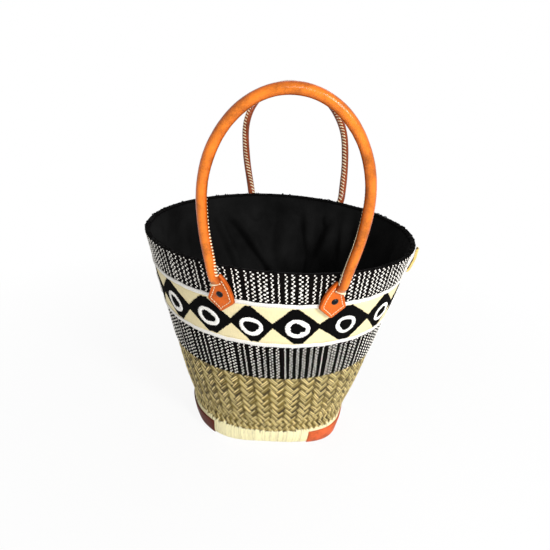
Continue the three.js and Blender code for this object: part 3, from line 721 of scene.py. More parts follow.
class BASKET_OT_palm(Maker, bpy.types.Operator):
    """Plait the palm body: a ground shell, the strips of its twill and its woven underside"""
    bl_idname = "basket.palm"
    bl_label = "Palm body"

    # The shell's lower edge, bends and inner floor by height, and how far its faces lie inside the wall
    LOW = 1.2
    BENDS = (9, 29, 42, 56, 72, 90, 110)
    FLOOR = 4.0
    OUTER_GAP = 1.1
    INNER_GAP = 2.9

    # The twill, its closing row and the plain rows below: heights where they begin, and widths in a float
    TWILL = (62, 2.15)
    CLOSING = (55.5, 1.3)
    PLAIN = (49, 1.2)
    TWILL_ROWS = 9
    PLAIN_ROWS = 2

    # Each float is three narrow strips side by side: their places, and their tones from dark to light
    ASIDE = (-1, 0, 1)
    STRIP_TONES = (-0.34, 0.04, 0.26)

    # Width of a float under the base, and how many steps the grid there reaches from the middle
    BASE_WIDTH = 9.2
    BASE_STEPS = 24

    def make(self, sizes, colours, wall):
        dress(self.shell(wall), palm_ground(colours), ["palm_basket"])
        leaf = palm_leaf(colours)
        dress(self.twill(wall, sizes), leaf)
        dress(self.underside(wall), leaf)

    def shell(self, wall):
        """Thick shell, extruded up from the base and down again inside."""
        stops = [(z, self.OUTER_GAP) for z in (self.LOW, *self.BENDS, PALM_TOP)]
        stops += [(z, self.INNER_GAP) for z in (PALM_TOP, *self.BENDS[::-1], self.FLOOR)]
        rings = [[half - gap + foot_round(z) for half in wall.halves(z)] for z, gap in stops]
        bpy.ops.object.select_all(action="DESELECT")
        bpy.ops.mesh.primitive_circle_add(
            vertices=136, radius=MM, fill_type="NGON", location=(0, 0, self.LOW * MM))
        piece = bpy.context.object
        piece.name = "palm_ground"
        bpy.ops.object.transform_apply(location=True)
        bpy.ops.object.mode_set(mode="EDIT")
        bpy.ops.mesh.select_all(action="SELECT")
        bpy.ops.transform.resize(value=(*rings[0], 1))
        for step in range(1, len(stops)):
            rise = stops[step][0] - stops[step - 1][0]
            grow = [after / before for before, after in zip(rings[step - 1], rings[step])]
            bpy.ops.mesh.extrude_region_move(TRANSFORM_OT_translate={"value": (0, 0, rise * MM)})
            bpy.ops.transform.resize(value=(*grow, 1))
        bpy.ops.object.mode_set(mode="OBJECT")
        x, y, z = points_of(piece).T
        half_length, half_width = wall.halves(z / MM)
        grow = wall.squareness(np.arctan2(y / half_width, x / half_length), z / MM)
        set_points(piece, np.stack([x * grow, y * grow, z], -1))
        weld(piece)
        bpy.ops.object.shade_smooth_by_angle(angle=math.radians(40))
        return piece

    def strip(self):
        """One narrow strip end to end: rounded across, and diving under at both ends."""
        return raised(
            "strip", 6, 2, (INSIDE, ANYWHERE, 0.55), ((0.3, 0.95), ANYWHERE, 0.35),
            ((0.6, 0.95), ANYWHERE, 0.2), (ANYWHERE, MIDDLE, 0.3))

    def floats(self, wall, sizes):
        """Place, height, slant and length of each float: over two, under two, with the twill line upright,
        and one over one in the last rows at the foot."""
        column = wall.girth / sizes.twill_repeats
        pitch = sizes.twill_pitch / MM
        spots = []
        height, long = self.TWILL
        for row in range(self.TWILL_ROWS):
            for repeat in range(sizes.twill_repeats):
                spots.append((repeat * column, height + row * pitch, -1, long))
                spots.append(((repeat + 0.5) * column, height + (row - 0.5) * pitch, 1, long))
        height, long = self.CLOSING
        for repeat in range(sizes.twill_repeats):
            spots.append(((repeat + 0.85) * column, height, -1, long))
        height, long = self.PLAIN
        for row in range(self.PLAIN_ROWS):
            for half in range(2 * sizes.twill_repeats):
                spots.append((half * column / 2, height - row * pitch, -1, long))
                spots.append(((half + 0.5) * column / 2, height - (row + 0.5) * pitch, 1, long))
        return np.array(spots)

    def twill(self, wall, sizes):
        """The strips of the twill round the wall."""
        chance = np.random.default_rng(3)
        width = sizes.twill_pitch / MM / math.sqrt(2)
        spots = self.floats(wall, sizes)
        floats = len(spots)
        place, z, slant, long = np.repeat(spots, 3, axis=0).T
        number = len(place)
        aside = np.tile(self.ASIDE, floats) * width / 3 + chance.normal(0, 0.15, number)
        turn = slant * math.pi / 4 + np.repeat(chance.normal(0, 0.03, floats), 3)
        turn = turn + chance.normal(0, 0.025, number)
        # Floats that slant down to the right are painted lighter than those that slant up to the right, as a
        # painted sheen of the light along their fibres
        tones = np.where(slant < 0, 0.72, 0.6) + np.repeat(chance.normal(0, 0.06, floats), 3)
        tones = tones + np.tile(self.STRIP_TONES, floats) + chance.normal(0, 0.12, number)
        slide = chance.normal(0, 0.6, number)
        along, up = rotated(slide, aside, turn)
        seed, local = self.strip()
        wide = width / 3 * chance.uniform(0.56, 0.8, number)
        thick = chance.uniform(0.8, 1.2, number)
        placed = lay_on_wall(
            wall, local, place + along, z + up, np.where(slant < 0, -0.65, -0.9), turn=turn,
            sizes=(long * width, wide, thick))
        return strew("palm_weave", seed, placed, tones, smooth=False)

    def underside(self, wall):
        """The same plaiting, flat under the base."""
        chance = np.random.default_rng(4)
        width = self.BASE_WIDTH
        half_length, half_width = (half - 5 for half in wall.halves(0))
        spots = []
        steps = range(-self.BASE_STEPS, self.BASE_STEPS + 1)
        for i, j in ((i, j) for i in steps for j in steps if (i + j) % 2 == 0):
            lengthwise = (i + j) % 4 == 0
            x, y = ((i + 0.5) * width, j * width) if lengthwise else (i * width, (j + 0.5) * width)
            turn = math.atan2(y / half_width, x / half_length)
            if math.hypot(x / half_length, y / half_width) < 0.92 * wall.squareness(turn, 0):
                spots.append((x, y, 0.0 if lengthwise else math.pi / 2))
        floats = len(spots)
        x, y, turn = (column[:, None] for column in np.repeat(np.array(spots), 3, axis=0).T)
        aside = np.tile(self.ASIDE, floats)[:, None] * width / 3
        seed, local = self.strip()
        local = local * (2.05 * width, width / 3.2, 1)
        along, across = rotated(local[:, 0], local[:, 1] + aside, turn)
        down = np.maximum(1.3 - local[:, 2] + 0 * x, 0.05)
        placed = np.stack([x + along, y + across, down], -1) * MM
        piece = strew("palm_underside", seed, placed, 0.5 + chance.normal(0, 0.13, 3 * floats))
        piece.data.flip_normals()
        return piece


class BASKET_OT_lining(Maker, bpy.types.Operator):
    """Hang the black cotton lining in the basket and lay its base"""
    bl_idname = "basket.lining"
    bl_label = "Lining"

    # Soft folds of the wall: place, height of its middle, width, length, depth and slope
    FOLDS = (
        (600, 235, 16, 95, 13.5, 0.70), (655, 250, 12, 90, 9.5, 0.35), (545, 245, 20, 110, 11.0, -0.10),
        (500, 260, 11, 70, 8.0, 0.12), (465, 240, 17, 100, 12.0, -0.30), (430, 265, 10, 60, 7.0, 0.10),
        (700, 255, 15, 90, 10.0, 0.15), (745, 235, 15, 110, 6.0, -0.20), (390, 230, 15, 110, 6.5, 0.20),
        (350, 190, 20, 140, 4.0, -0.10), (290, 210, 16, 120, 4.5, 0.10), (800, 220, 14, 110, 5.0, 0.20),
        (850, 200, 18, 130, 4.0, -0.15), (910, 180, 20, 140, 4.0, 0.12), (60, 190, 22, 140, 4.5, -0.12),
        (140, 200, 18, 130, 4.0, 0.18), (220, 180, 20, 150, 4.5, -0.2), (980, 200, 18, 130, 4.0, 0.1),
        (1050, 190, 22, 140, 4.5, -0.15),
    )

    # The cloth's lower edge, its height, and how far out of the palm it lies: plain and over a washer
    LOW = 4.6
    TALL = 316.2
    OUT = -3.9
    WASHER_OUT = -7.5

    # Heights where the rim and the base hold the cloth, and how far from them it hangs free
    RIM_HOLD = (316, 35)
    BASE_HOLD = (4, 25)

    # Height and spread of the gathers under the rim, and how far from a rivet the cloth starts to rise
    GATHERS = (302, 14)
    WASHER_REACH = 16
    WASHER_SLOPE = 9

    # Height of the base, and of its cloth
    FLOOR = 5
    BASE_CLOTH = 4.9

    def make(self, sizes, colours, wall):
        cotton = black_cotton(colours)
        side = self.side(wall, sizes)
        dress(side, cotton, ["lining_wall"])
        base = self.base(wall)
        dress(base, cotton, ["lining_base"])

    def side(self, wall, sizes):
        """The wall of cloth: free folds in the middle, held at both edges."""
        piece = fresh_grid("lining_wall_cloth", 420, 90)
        turn, row = shares_of(piece)
        place, z = turn * wall.girth, self.LOW + row * self.TALL
        depth = np.zeros(len(place))
        for middle, height, width, long, deep, slope in self.FOLDS:
            away = (place - middle - slope * (z - height) + wall.girth / 2) % wall.girth - wall.girth / 2
            # Each fold has a hollow beside it
            crest = bell(away, width) - 0.45 * bell(away - 1.6 * width, width)
            depth += deep * crest * bell(z - height, long)
        (rim, below), (base, above) = self.RIM_HOLD, self.BASE_HOLD
        held = np.clip((rim - z) / below, 0, 1) * np.clip((z - base) / above, 0.1, 1)
        gathered, spread = self.GATHERS
        ripple = 0.7 * np.sin(place / 6.1) * bell(z - gathered, spread)
        out = self.OUT - np.maximum(depth * held, -0.3) - np.maximum(ripple, 0)
        # The cloth covers the washers and the closed ends of the rivets
        for end in ENDS:
            fitting = Fitting(wall, sizes, end)
            away = np.hypot(place - fitting.place, z - fitting.height)
            cover = ease((self.WASHER_REACH - away) / self.WASHER_SLOPE)
            out = np.minimum(out, out + (self.WASHER_OUT - out) * cover)
        set_points(piece, wall.point(place, z, out))
        self.thicken(piece)
        return piece

    def base(self, wall):
        """The base of cloth, a little rumpled towards its edge."""
        piece = fresh_grid("lining_base_cloth", 24, 120)
        reach, turn = shares_of(piece)
        half_length, half_width = (half - 4.6 for half in wall.halves(self.FLOOR))
        angle = turn * TURN
        reach = reach * wall.squareness(angle, self.FLOOR)
        x, y = half_length * reach * np.cos(angle), half_width * reach * np.sin(angle)
        rumple = (0.5 + 0.5 * np.sin(x / 21 + y / 37)) * (0.5 + 0.5 * np.cos(y / 26 - x / 53))
        set_points(piece, np.stack([x, y, self.BASE_CLOTH + 1.4 * reach ** 2 * rumple], -1) * MM)
        self.thicken(piece)
        return piece

    def thicken(self, piece):
        """Join the sewn edge and give the cloth its thickness."""
        weld(piece, closed=False)
        modify(piece, "SOLIDIFY", thickness=0.5 * MM, offset=0)


class BASKET_OT_rim(Maker, bpy.types.Operator):
    """Bind the rim: a thin black edge and the slanting thread overcast over it"""
    bl_idname = "basket.rim"
    bl_label = "Rim overcast"

    # Outline of the edge as (out, height), and how many threads go over it
    EDGE = ((1.0, 320.2), (1.5, 320.6), (1.2, 321.2), (0.4, 321.6), (-3.2, 321.4), (-4.7, 320),
            (-4.9, 318.4), (-4.3, 318))
    NUMBER = 350

    # A thread's loop: its middle as (out, height), how far it reaches out and up, how far it slants along the
    # wall, and half its thickness, along the wall in millimetres and out as a share of its reach
    LOOP_MIDDLE = (-1.6, 319.4)
    LOOP_REACH = (3.1, 2.2)
    LOOP_SLANT = 2.6
    THREAD_ALONG = 0.9
    THREAD_OUT = 0.24

    def make(self, sizes, colours, wall):
        black = spun_thread(colours, "Black cotton thread")
        dress(round_the_wall("rim_edge", wall, self.EDGE, 240), black, ["rim_overcast"])
        dress(self.loops(wall), black)

    def loops(self, wall):
        """Threads over the edge, one every 3 mm, slanting as they cross it."""
        chance = np.random.default_rng(5)

        def over_edge(along, angle):
            """Places along, up and out of the wall, from outside the edge to inside it."""
            (out, up), (far, high) = self.LOOP_MIDDLE, self.LOOP_REACH
            turn = math.pi * (1.12 * along - 0.06)
            reach = 1 + self.THREAD_OUT * np.cos(angle)
            x = self.LOOP_SLANT * (along - 0.5) + self.THREAD_ALONG * np.sin(angle)
            return x, up + high * reach * np.sin(turn), out + far * reach * np.cos(turn)

        seed, local = thread("thread", over_edge)
        number = self.NUMBER
        place = (np.arange(number) + chance.uniform(-0.15, 0.15, number)) * wall.girth / number
        placed = lay_on_wall(wall, local, place, chance.normal(0, 0.9, number), 0, lean=0)
        return strew("rim_thread", seed, placed, chance.uniform(0.2, 0.8, number))


class BASKET_OT_bands(Maker, bpy.types.Operator):
    """Sew on the two striped bands: black cloth with raised white dashes"""
    bl_idname = "basket.bands"
    bl_label = "Striped bands"

    # Columns come in this order: 1 is a thin dotted line, 2 a zigzag and 3 a wide zigzag
    ORDER = (3, 2, 1, 2, 2, 3, 2, 2, 1, 2, 3, 2, 2, 3, 2, 1, 2, 2, 2)

    # How far the dashes of each kind of column step aside, and their width and height
    KINDS = {1: (0.45, 1.9, 2.5), 2: (1.05, 2.7, 2.4), 3: (1.5, 3.3, 2.4)}

    # How many times that far they step in each band
    SWING = {"upper": 1.0, "lower": 1.35}

    # How far out of the palm the back, the rounded edge and the face of the cloth lie, and the dashes
    BACK = 0.4
    ROUNDED = 1.2
    FACE = 1.6
    DASH_OUT = 1.35

    def make(self, sizes, colours, wall):
        edge = sizes.cord_height / MM / 2
        pitch = sizes.stripe_pitch / MM
        white = spun_thread(colours, "White dashes, cotton")
        bands = (
            ("upper", sizes.upper_cord / MM + edge, BAND_TOP, sizes.upper_columns),
            ("lower", sizes.band_bottom / MM, sizes.lower_cord / MM - edge, sizes.lower_columns),
        )
        for name, low, high, columns in bands:
            profile = ((self.BACK, low), (self.ROUNDED, low - 0.2), (self.FACE, low + 0.6),
                       (self.FACE, high - 0.6), (self.ROUNDED, high), (self.BACK, high))
            ground = round_the_wall(f"{name}_band_cloth", wall, profile, 240)
            cloth = striped_cloth(colours, 2.2 * (high - low) / pitch, 3.0 * columns)
            dress(ground, cloth, [f"{name}_striped_band"])
            dashes = self.dashes(name, wall, pitch, low, high, columns)
            dress(dashes, white)

    def dashes(self, name, wall, pitch, low, high, columns):
        """Columns of raised dashes, each row stepped to the other side, further in the lower band."""
        chance = np.random.default_rng(columns)
        step = wall.girth / columns
        rows = int((high - low - 0.6) / pitch)
        spots = []
        for column in range(columns):
            aside, wide, tall = self.KINDS[self.ORDER[column % len(self.ORDER)]]
            middle = column * step + chance.normal(0, 0.7)
            size = chance.uniform(0.76, 1.02)
            for row in range(rows):
                way = self.SWING[name] if row % 2 else -self.SWING[name]
                z = low + 1.4 + (row + 0.3) * pitch
                spots.append((middle + aside * size * way, z, wide * size, tall))
        place, z, wide, tall = np.array(spots).T
        number = len(place)
        seed, local = raised("dash", 4, 3, (INSIDE, INSIDE, 0.8), ((0.4, 0.6), INSIDE, 0.15))
        placed = lay_on_wall(
            wall, local, place + chance.normal(0, 0.25, number), z + chance.normal(0, 0.12, number),
            self.DASH_OUT, turn=chance.normal(-0.12, 0.07, number),
            sizes=(wide * chance.uniform(0.85, 1.15, number), tall * chance.uniform(0.88, 1.1, number),
                   chance.uniform(0.85, 1.15, number)))
        return strew(f"{name}_band_dashes", seed, placed, chance.uniform(0, 1, number))


class BASKET_OT_panel(Maker, bpy.types.Operator):
    """Lay the cream raffia panel between the cords"""
    bl_idname = "basket.panel"
    bl_label = "Cream panel"

    # Rows of the cloth between its edges, and threads of the weave round it and up it
    ROWS = 12
    WARP = 780.0
    WEFT = 90.0

    def make(self, sizes, colours, wall):
        edge = sizes.cord_height / MM / 2 - 1
        low, high = sizes.lower_cord / MM + edge, sizes.upper_cord / MM - edge
        face = [(1.5, low + (high - low) * i / self.ROWS) for i in range(self.ROWS + 1)]

        def pulled(turn, row, out, z):
            """The cloth is drawn a little between the stitches."""
            return out + 0.12 * np.sin(turn * wall.girth / 3.1 + z / 4), z

        panel = round_the_wall("cream_panel_cloth", wall, [(0.4, low), *face, (0.4, high)], 480, pulled)
        cloth = woven_raffia(colours, self.WARP, self.WEFT)
        dress(panel, cloth, ["embroidered_panel"])


class BASKET_OT_cords(Maker, bpy.types.Operator):
    """Sew the two white cords along the panel's seams"""
    bl_idname = "basket.cords"
    bl_label = "White cords"

    # Sides of a cord's section, how far out its back lies, and the distance between its plies
    SIDES = 14
    BACK = 0.4
    PLY = 3.4

    def make(self, sizes, colours, wall):
        half, thick = sizes.cord_height / MM / 2, sizes.cord_thickness / MM / 2
        plies = round(wall.girth / self.PLY)
        angles = [TURN * i / self.SIDES for i in range(self.SIDES)]
        for name, middle in (("upper", sizes.upper_cord / MM), ("lower", sizes.lower_cord / MM)):
            profile = [(self.BACK + thick + thick * math.cos(a), middle + half * math.sin(a)) for a in angles]

            def plied(turn, row, out, z):
                """Slanting plies, and a line that isn't quite straight."""
                swell = 1 + 0.10 * np.sin(TURN * (plies * turn + np.sin(TURN * row)))
                sway = 0.35 * np.sin(TURN * 23 * turn) + 0.25 * np.sin(TURN * 57 * turn + 1)
                return self.BACK + (out - self.BACK) * swell, middle + sway + (z - middle) * swell

            cord = round_the_wall(f"{name}_cord_yarn", wall, profile, 1932, plied)
            dress(cord, spun_thread(colours, "White cotton yarn"), [f"{name}_white_cord"])


# How far each tip between two diamonds is from its even place, in millimetres: worked by eye, so never even
TIP_SHIFTS = (-4.7, -7.0, 6.0, 3.0, -2.0, 1.5, -3.0, 2.0, 4.0, -1.0, -3.5, 2.5, 1.0, -2.0, 0.0, 2.0, 4.5)


def diamond_tip(wall, sizes, number):
    """Place of a tip of the chain of diamonds, counted from the front centre to the right."""
    even = number * wall.girth / sizes.diamond_count
    shift = TIP_SHIFTS[number % sizes.diamond_count % len(TIP_SHIFTS)]
    return sizes.pattern_start / MM + even + shift


class BASKET_OT_diamonds(Maker, bpy.types.Operator):
    """Embroider the chain of black diamonds in upright satin stitch"""
    bl_idname = "basket.diamonds"
    bl_label = "Diamonds"

    # Stitches in a diamond, how many times their spacing they are wide, how far out they are sewn, and half
    # the height of the blunt tips between two diamonds
    STITCHES = 42
    OVERLAP = 1.7
    OUT = 1.35
    TIP = 3.3

    # Where a diamond's upper and lower points are, as a share of its width, and how steep the sides are
    CROWN = 0.47
    CROWN_STEEP = 1.13
    FOOT = 0.53
    FOOT_STEEP = 1.22

    def make(self, sizes, colours, wall):
        chance = np.random.default_rng(21)
        half = sizes.diamond_height / MM / 2
        spots = []
        for diamond in range(sizes.diamond_count):
            start = diamond_tip(wall, sizes, diamond)
            wide = diamond_tip(wall, sizes, diamond + 1) - start
            crown = self.CROWN + chance.normal(0, 0.02)
            foot = self.FOOT + chance.normal(0, 0.02)
            tall = half * chance.uniform(0.96, 1.03)
            for stitch in range(self.STITCHES):
                across = (stitch + 0.5) / self.STITCHES
                top = self.edge(across, crown, tall, self.CROWN_STEEP)
                bottom = self.edge(across, foot, tall, self.FOOT_STEEP)
                spots.append((start + across * wide, top, bottom, self.OVERLAP * wide / self.STITCHES))
        place, top, bottom, thick = np.array(spots).T
        number = len(place)
        top = top + chance.normal(0, 0.3, number)
        bottom = bottom + chance.normal(0, 0.3, number)
        seed, local = satin_stitch()
        placed = lay_on_wall(
            wall, local, place + chance.normal(0, 0.07, number), wall.middle + (top - bottom) / 2,
            self.OUT, turn=math.pi / 2 + chance.normal(0, 0.006, number),
            sizes=(top + bottom, thick, chance.uniform(0.8, 1.1, number)))
        piece = strew("diamond_stitches", seed, placed, chance.uniform(0, 1, number))
        dress(piece, spun_thread(colours, "Black cotton thread"), ["embroidered_diamonds"])

    def edge(self, across, peak, tall, steep):
        """How far a diamond reaches up or down at a share across it, with its point at the peak cut blunt."""
        share = min(across / peak, (1 - across) / (1 - peak))
        return self.TIP + tall * min(1.0, steep * share) - self.TIP * min(1.0, share)


class BASKET_OT_rings(Maker, bpy.types.Operator):
    """Embroider a white ring on each diamond, stitched across its stroke"""
    bl_idname = "basket.rings"
    bl_label = "Rings"

    # Stitches in a ring, their width and slant, how far out they are sewn, and how low the ring sits
    STITCHES = 46
    WIDTH = 2.5
    SLANT = 0.22
    OUT = 2.15
    DROP = 3

    # On the first ring a few stitches at the lower right run on into the middle: angle, spread and length
    BLOT = (5.45, 0.22, 3.2)

    def make(self, sizes, colours, wall):
        for ring in range(sizes.diamond_count):
            chance = np.random.default_rng(30 + ring)
            tips = diamond_tip(wall, sizes, ring) + diamond_tip(wall, sizes, ring + 1)
            centre = tips / 2 + chance.normal(0, 1.0)
            piece = self.ring(f"ring_stitches_{ring + 1:02d}", wall, sizes, centre, chance, blot=ring == 0)
            yarn = spun_thread(colours, "White cotton yarn")
            dress(piece, yarn, [f"embroidered_ring_{ring + 1:02d}"])

    def ring(self, name, wall, sizes, centre, chance, blot):
        """One ring, uneven as handwork is."""
        stitches = self.STITCHES
        angle = (np.arange(stitches) + chance.uniform(-0.2, 0.2, stitches)) * TURN / stitches
        drop = self.DROP + chance.normal(0, 1.0)
        stroke = sizes.ring_stroke / MM * chance.uniform(0.96, 1.16)
        half_width = sizes.ring_width / MM / 2 * chance.uniform(0.9, 0.98)
        half_height = sizes.ring_height / MM / 2 * chance.uniform(0.88, 0.99)
        wave = 0.5 * np.sin(2 * angle + chance.uniform(0, 6)) + 0.5 * np.sin(3 * angle + chance.uniform(0, 6))
        outer = 1 + 0.035 * wave + chance.normal(0, 0.012, stitches)
        thick = stroke * (1 + 0.16 * np.roll(wave, 9)) + chance.normal(0, 0.25, stitches)
        if blot:
            middle, spread, long = self.BLOT
            thick += long * bell(angle - middle, spread)
        far = np.stack([half_width * outer * np.cos(angle), half_height * outer * np.sin(angle)], 1)
        reach = np.linalg.norm(far, axis=1)
        spot = far * ((reach - thick / 2) / reach)[:, None]
        seed, local = satin_stitch()
        placed = lay_on_wall(
            wall, local, centre + spot[:, 0], wall.middle - drop + spot[:, 1], self.OUT,
            turn=np.arctan2(far[:, 1], far[:, 0]) + self.SLANT + chance.normal(0, 0.08, stitches),
            sizes=(thick, self.WIDTH, chance.uniform(1.0, 1.4, stitches)))
        return strew(name, seed, placed, chance.uniform(0, 1, stitches))


class BASKET_OT_foot(Maker, bpy.types.Operator):
    """Bind the foot with raffia strands over a ground ring"""
    bl_idname = "basket.foot"
    bl_label = "Foot binding"

    # Outlines as (out, height): of the ground ring, and of a strand from under the base to its top
    GROUND = ((-6, 0.9), (0.6, 0.8), (1.2, 3), (1.2, 22), (0.3, 26.5), (-1.5, 26.5), (-2.0, 4))
    STRAND = ((-11, 0.55), (-3, 0.35), (1.0, 0.75), (1.7, 3.0), (1.8, 10), (1.6, 20), (1.1, 25), (-0.4, 28.5))

    # Strands, how many times their spacing they are wide, the share of each that lies under the base, and how
    # much higher every sixth one reaches
    NUMBER = 366
    OVERLAP = 1.04
    UNDER = 0.2
    HIGHER = 0.09

    def make(self, sizes, colours, wall):
        raffia = raffia_strand(colours)
        ground = [(out + foot_round(z), z) for out, z in self.GROUND]
        dress(round_the_wall("foot_ground", wall, ground, 180), raffia, ["foot_binding"])
        dress(self.strands(wall), raffia)

    def strands(self, wall):
        """Strands side by side from under the base to a ragged top edge; every sixth one reaches higher."""
        chance = np.random.default_rng(41)
        number = self.NUMBER
        pitch = wall.girth / number
        seed = fresh_grid("strand", 7, 3)
        along, across = shares_of(seed)
        out, z = at_reach(along, np.linspace(0, 1, len(self.STRAND)), np.array(self.STRAND)).T
        # Under the base the strand is rounded downwards, and above it outwards
        arch = 0.75 - 3.0 * (across - 0.5) ** 2
        z = z - np.where(along < self.UNDER, 0.3 * arch, 0)
        out = out + np.where(along > self.UNDER, arch, 0) + foot_round(z)
        local = np.stack([(across - 0.5) * pitch * self.OVERLAP, z, out], 1)
        place = (np.arange(number) + chance.normal(0, 0.12, number)) * pitch
        higher = np.where(np.arange(number) % 6 == 0, self.HIGHER, 0)
        tall = chance.normal(1.0, 0.045, number) + higher
        placed = lay_on_wall(
            wall, local, place, 0, chance.normal(0, 0.12, number),
            sizes=(chance.uniform(0.9, 1.1, number), tall, 1), lean=0)
        return strew("foot_strands", seed, placed, chance.beta(4, 2, number))


class BASKET_OT_patches(Maker, bpy.types.Operator):
    """Sew the four leather patches over the foot"""
    bl_idname = "basket.patches"
    bl_label = "Foot patches"

    # Length of a patch, the gap between two, how far the front pair is off centre, and heights of the edges
    LONG = 102
    SPACING = 146
    SHIFT = -6
    LOW = 1.0
    HIGH = 25.0

    # How far out a patch's back lies, its thickness, and how far it thins at its edges, over what distance
    BACK = 2.9
    THICKNESS = 1.4
    THINNED = 0.6
    THIN_OVER = 0.9

    def make(self, sizes, colours, wall):
        # The left patches are the same leather painted darker, as painted shade; the right ones are its lit
        # copy
        bright = tanned_leather("Red-brown leather, worn", colours.foot_leather, 0.5, 0.6, 1.4)
        dark = tanned_leather("Red-brown leather, darkened", colours.foot_leather_in_painted_shade, 0.6, 0.5, 1.4)
        stretch = wall.stretch((self.LOW + self.HIGH) / 2)
        reach = (self.SPACING + self.LONG) / 2
        for end in ENDS:
            left = end.endswith("left")
            shift, start = (self.SHIFT, 0) if end.startswith("front") else (-self.SHIFT, wall.girth / 2)
            centre = shift - reach if left else shift + reach
            piece = self.patch(f"foot_leather_{end}", wall, centre * stretch + start, self.LONG * stretch)
            dress(piece, dark if left else bright, [f"foot_patch_{end}"])

    def patch(self, name, wall, place, long):
        """One patch, thinner at its edges and slightly wavy."""
        tall = self.HIGH - self.LOW

        def over_foot(along, up, through):
            edge = np.minimum.reduce([along * long, (1 - along) * long, up * tall, (1 - up) * tall])
            out = self.BACK + self.THICKNESS * through - self.THINNED * np.exp(-edge / self.THIN_OVER)
            out = out + 0.25 * np.sin(along * 19) * np.sin(up * 4)
            z = self.LOW + up * tall
            return wall.point(place + (along - 0.5) * long, z, out + foot_round(z))

        return leather_patch(name, 32, 8, over_foot)


class BASKET_OT_strip(Maker, bpy.types.Operator):
    """Fold the tan strip over the end seam of the upper band"""
    bl_idname = "basket.strip"
    bl_label = "Seam strip"

    # Width and height of the strip, how far out its back lies, its thickness, its arch across and its bow
    WIDE = 12.0
    TALL = 36.0
    BACK = 3.0
    THICKNESS = 1.8
    ARCH = 2.2
    BOW = 2.0

    def make(self, sizes, colours, wall):

        def over_seam(along, up, through):
            """The strip is arched across, and stands off the wall in the middle of its height."""
            across = along - 0.5
            out = self.BACK + self.THICKNESS * through + self.ARCH * (1 - (2 * across) ** 2)
            out = out + 0.2 * np.sin(up * 14) + self.BOW * np.sin(math.pi * up)
            return wall.point(END_SEAM + across * self.WIDE, PALM_TOP - self.TALL * (1 - up), out)

        leather = tanned_leather("Pale tan leather", colours.seam_strip, 0.45, 0.3, 1.2)
        piece = leather_patch("seam_strip_leather", 8, 16, over_seam)
        dress(piece, leather, ["side_seam_strip"])


# Handles: where they are riveted on, and their line

# The flattened neck of the roll, from the rivet: how far out sideways and up, its length and its thickness
NECK_OUT = 3.5
NECK_START = 15.0
NECK_LENGTH = 12.0
NECK_THICKNESS = 5.0
SPLAY = math.radians(7)

# The tab: how far out of the palm its back lies, its thickness, and its middle from the rivet
PLATE_IN = 5.9
PLATE_THICKNESS = 2.4
LEAF_MIDDLE = np.array([0.0, -3.0])

# How far right of the middle each handle hangs, seen from the front
FRONT_SHIFT = 8
REAR_SHIFT = 17


class Fitting:
    """One riveted end of a handle; side is -1 for the left leg and 1 for the right."""

    def __init__(self, wall, sizes, end):
        self.side = -1 if end.endswith("left") else 1
        self.height = sizes.rivet_height / MM
        stretch = wall.stretch(self.height)
        front = end.startswith("front")
        centre = FRONT_SHIFT * stretch if front else wall.girth / 2 - REAR_SHIFT * stretch
        self.place = centre + self.side * sizes.rivet_spacing / MM / 2 * stretch
        self.along, self.up, self.out, self.origin = wall.frame(self.place, self.height)
        lean = self.side * SPLAY
        self.rise = self.up * math.cos(lean) + self.along * math.sin(lean)
        self.foot = self.origin + (self.along * self.side * NECK_OUT + self.up * NECK_START) * MM

    def on_plate(self, x, y, out):
        """Points in metres from millimetres along, up and out of the wall at the rivet."""
        x, y, out = (np.reshape(v, (-1, 1)) * MM for v in np.broadcast_arrays(x, y, out))
        return self.origin + self.along * x + self.up * y + self.out * out


def leaf_outline(side, margin, half):
    """Outline of a tab, in millimetres from its rivet, with softened corners; half is the roll's radius."""
    wide, shoulder, tip = 18.25 + margin, -10.5 - margin, -28 - margin

    def neck(height, way):
        """A point on the neck's edge."""
        return NECK_OUT + (height - NECK_START) * math.tan(SPLAY) + way * half, height

    start, bend, end = np.array([(-wide, shoulder), (-15 - margin, 16), neck(30, -1)])
    steps = np.linspace(0, 1, 9)[:, None]
    flare = (1 - steps) ** 2 * start + 2 * steps * (1 - steps) * bend + steps ** 2 * end
    corners = np.array([neck(13, 1), (wide, shoulder), (0, tip), *flare])
    corners[:, 0] *= side
    if side < 0:
        corners = corners[::-1]
    line = np.vstack([corners, corners[:1]])
    reach = reach_of(line)
    points = at_reach(np.linspace(0, reach[-1], 97)[:-1], reach, line)
    for _ in range(3):
        points = (np.roll(points, 1, 0) + 2 * points + np.roll(points, -1, 0)) / 4
    return points


def inset(outline, distance):
    """The outline moved inwards, along lines to the leaf's middle so that it never crosses itself."""
    along = unit(np.roll(outline, -1, 0) - np.roll(outline, 1, 0))
    normal = np.stack([-along[:, 1], along[:, 0]], 1)
    reach = np.linalg.norm(LEAF_MIDDLE - outline, axis=1)
    spoke = unit(LEAF_MIDDLE - outline)
    square = np.abs(np.sum(normal * spoke, 1))
    step = np.minimum(distance / np.maximum(square, 0.5), 0.8 * reach)
    return outline + spoke * step[:, None]


def leaf_plate(name, fitting, outline, rows):
    """A leather leaf from rows of (inset, height), closed at its middle above and below."""
    piece = fresh_grid(name, len(outline), len(rows) + 1)
    round_it, row = shares_of(piece)
    spot = np.rint(round_it * len(outline)).astype(int) % len(outline)
    level = np.rint(row * (len(rows) + 1)).astype(int)
    middle = np.tile(LEAF_MIDDLE, (len(outline), 1))
    rings = [middle] + [inset(outline, distance) for distance, height in rows] + [middle]
    heights = [rows[0][1]] + [height for distance, height in rows] + [rows[-1][1] + 0.3]
    x, y = np.array(rings)[level, spot].T
    set_points(piece, fitting.on_plate(x, y, np.array(heights)[level]))
    weld(piece)
    return piece


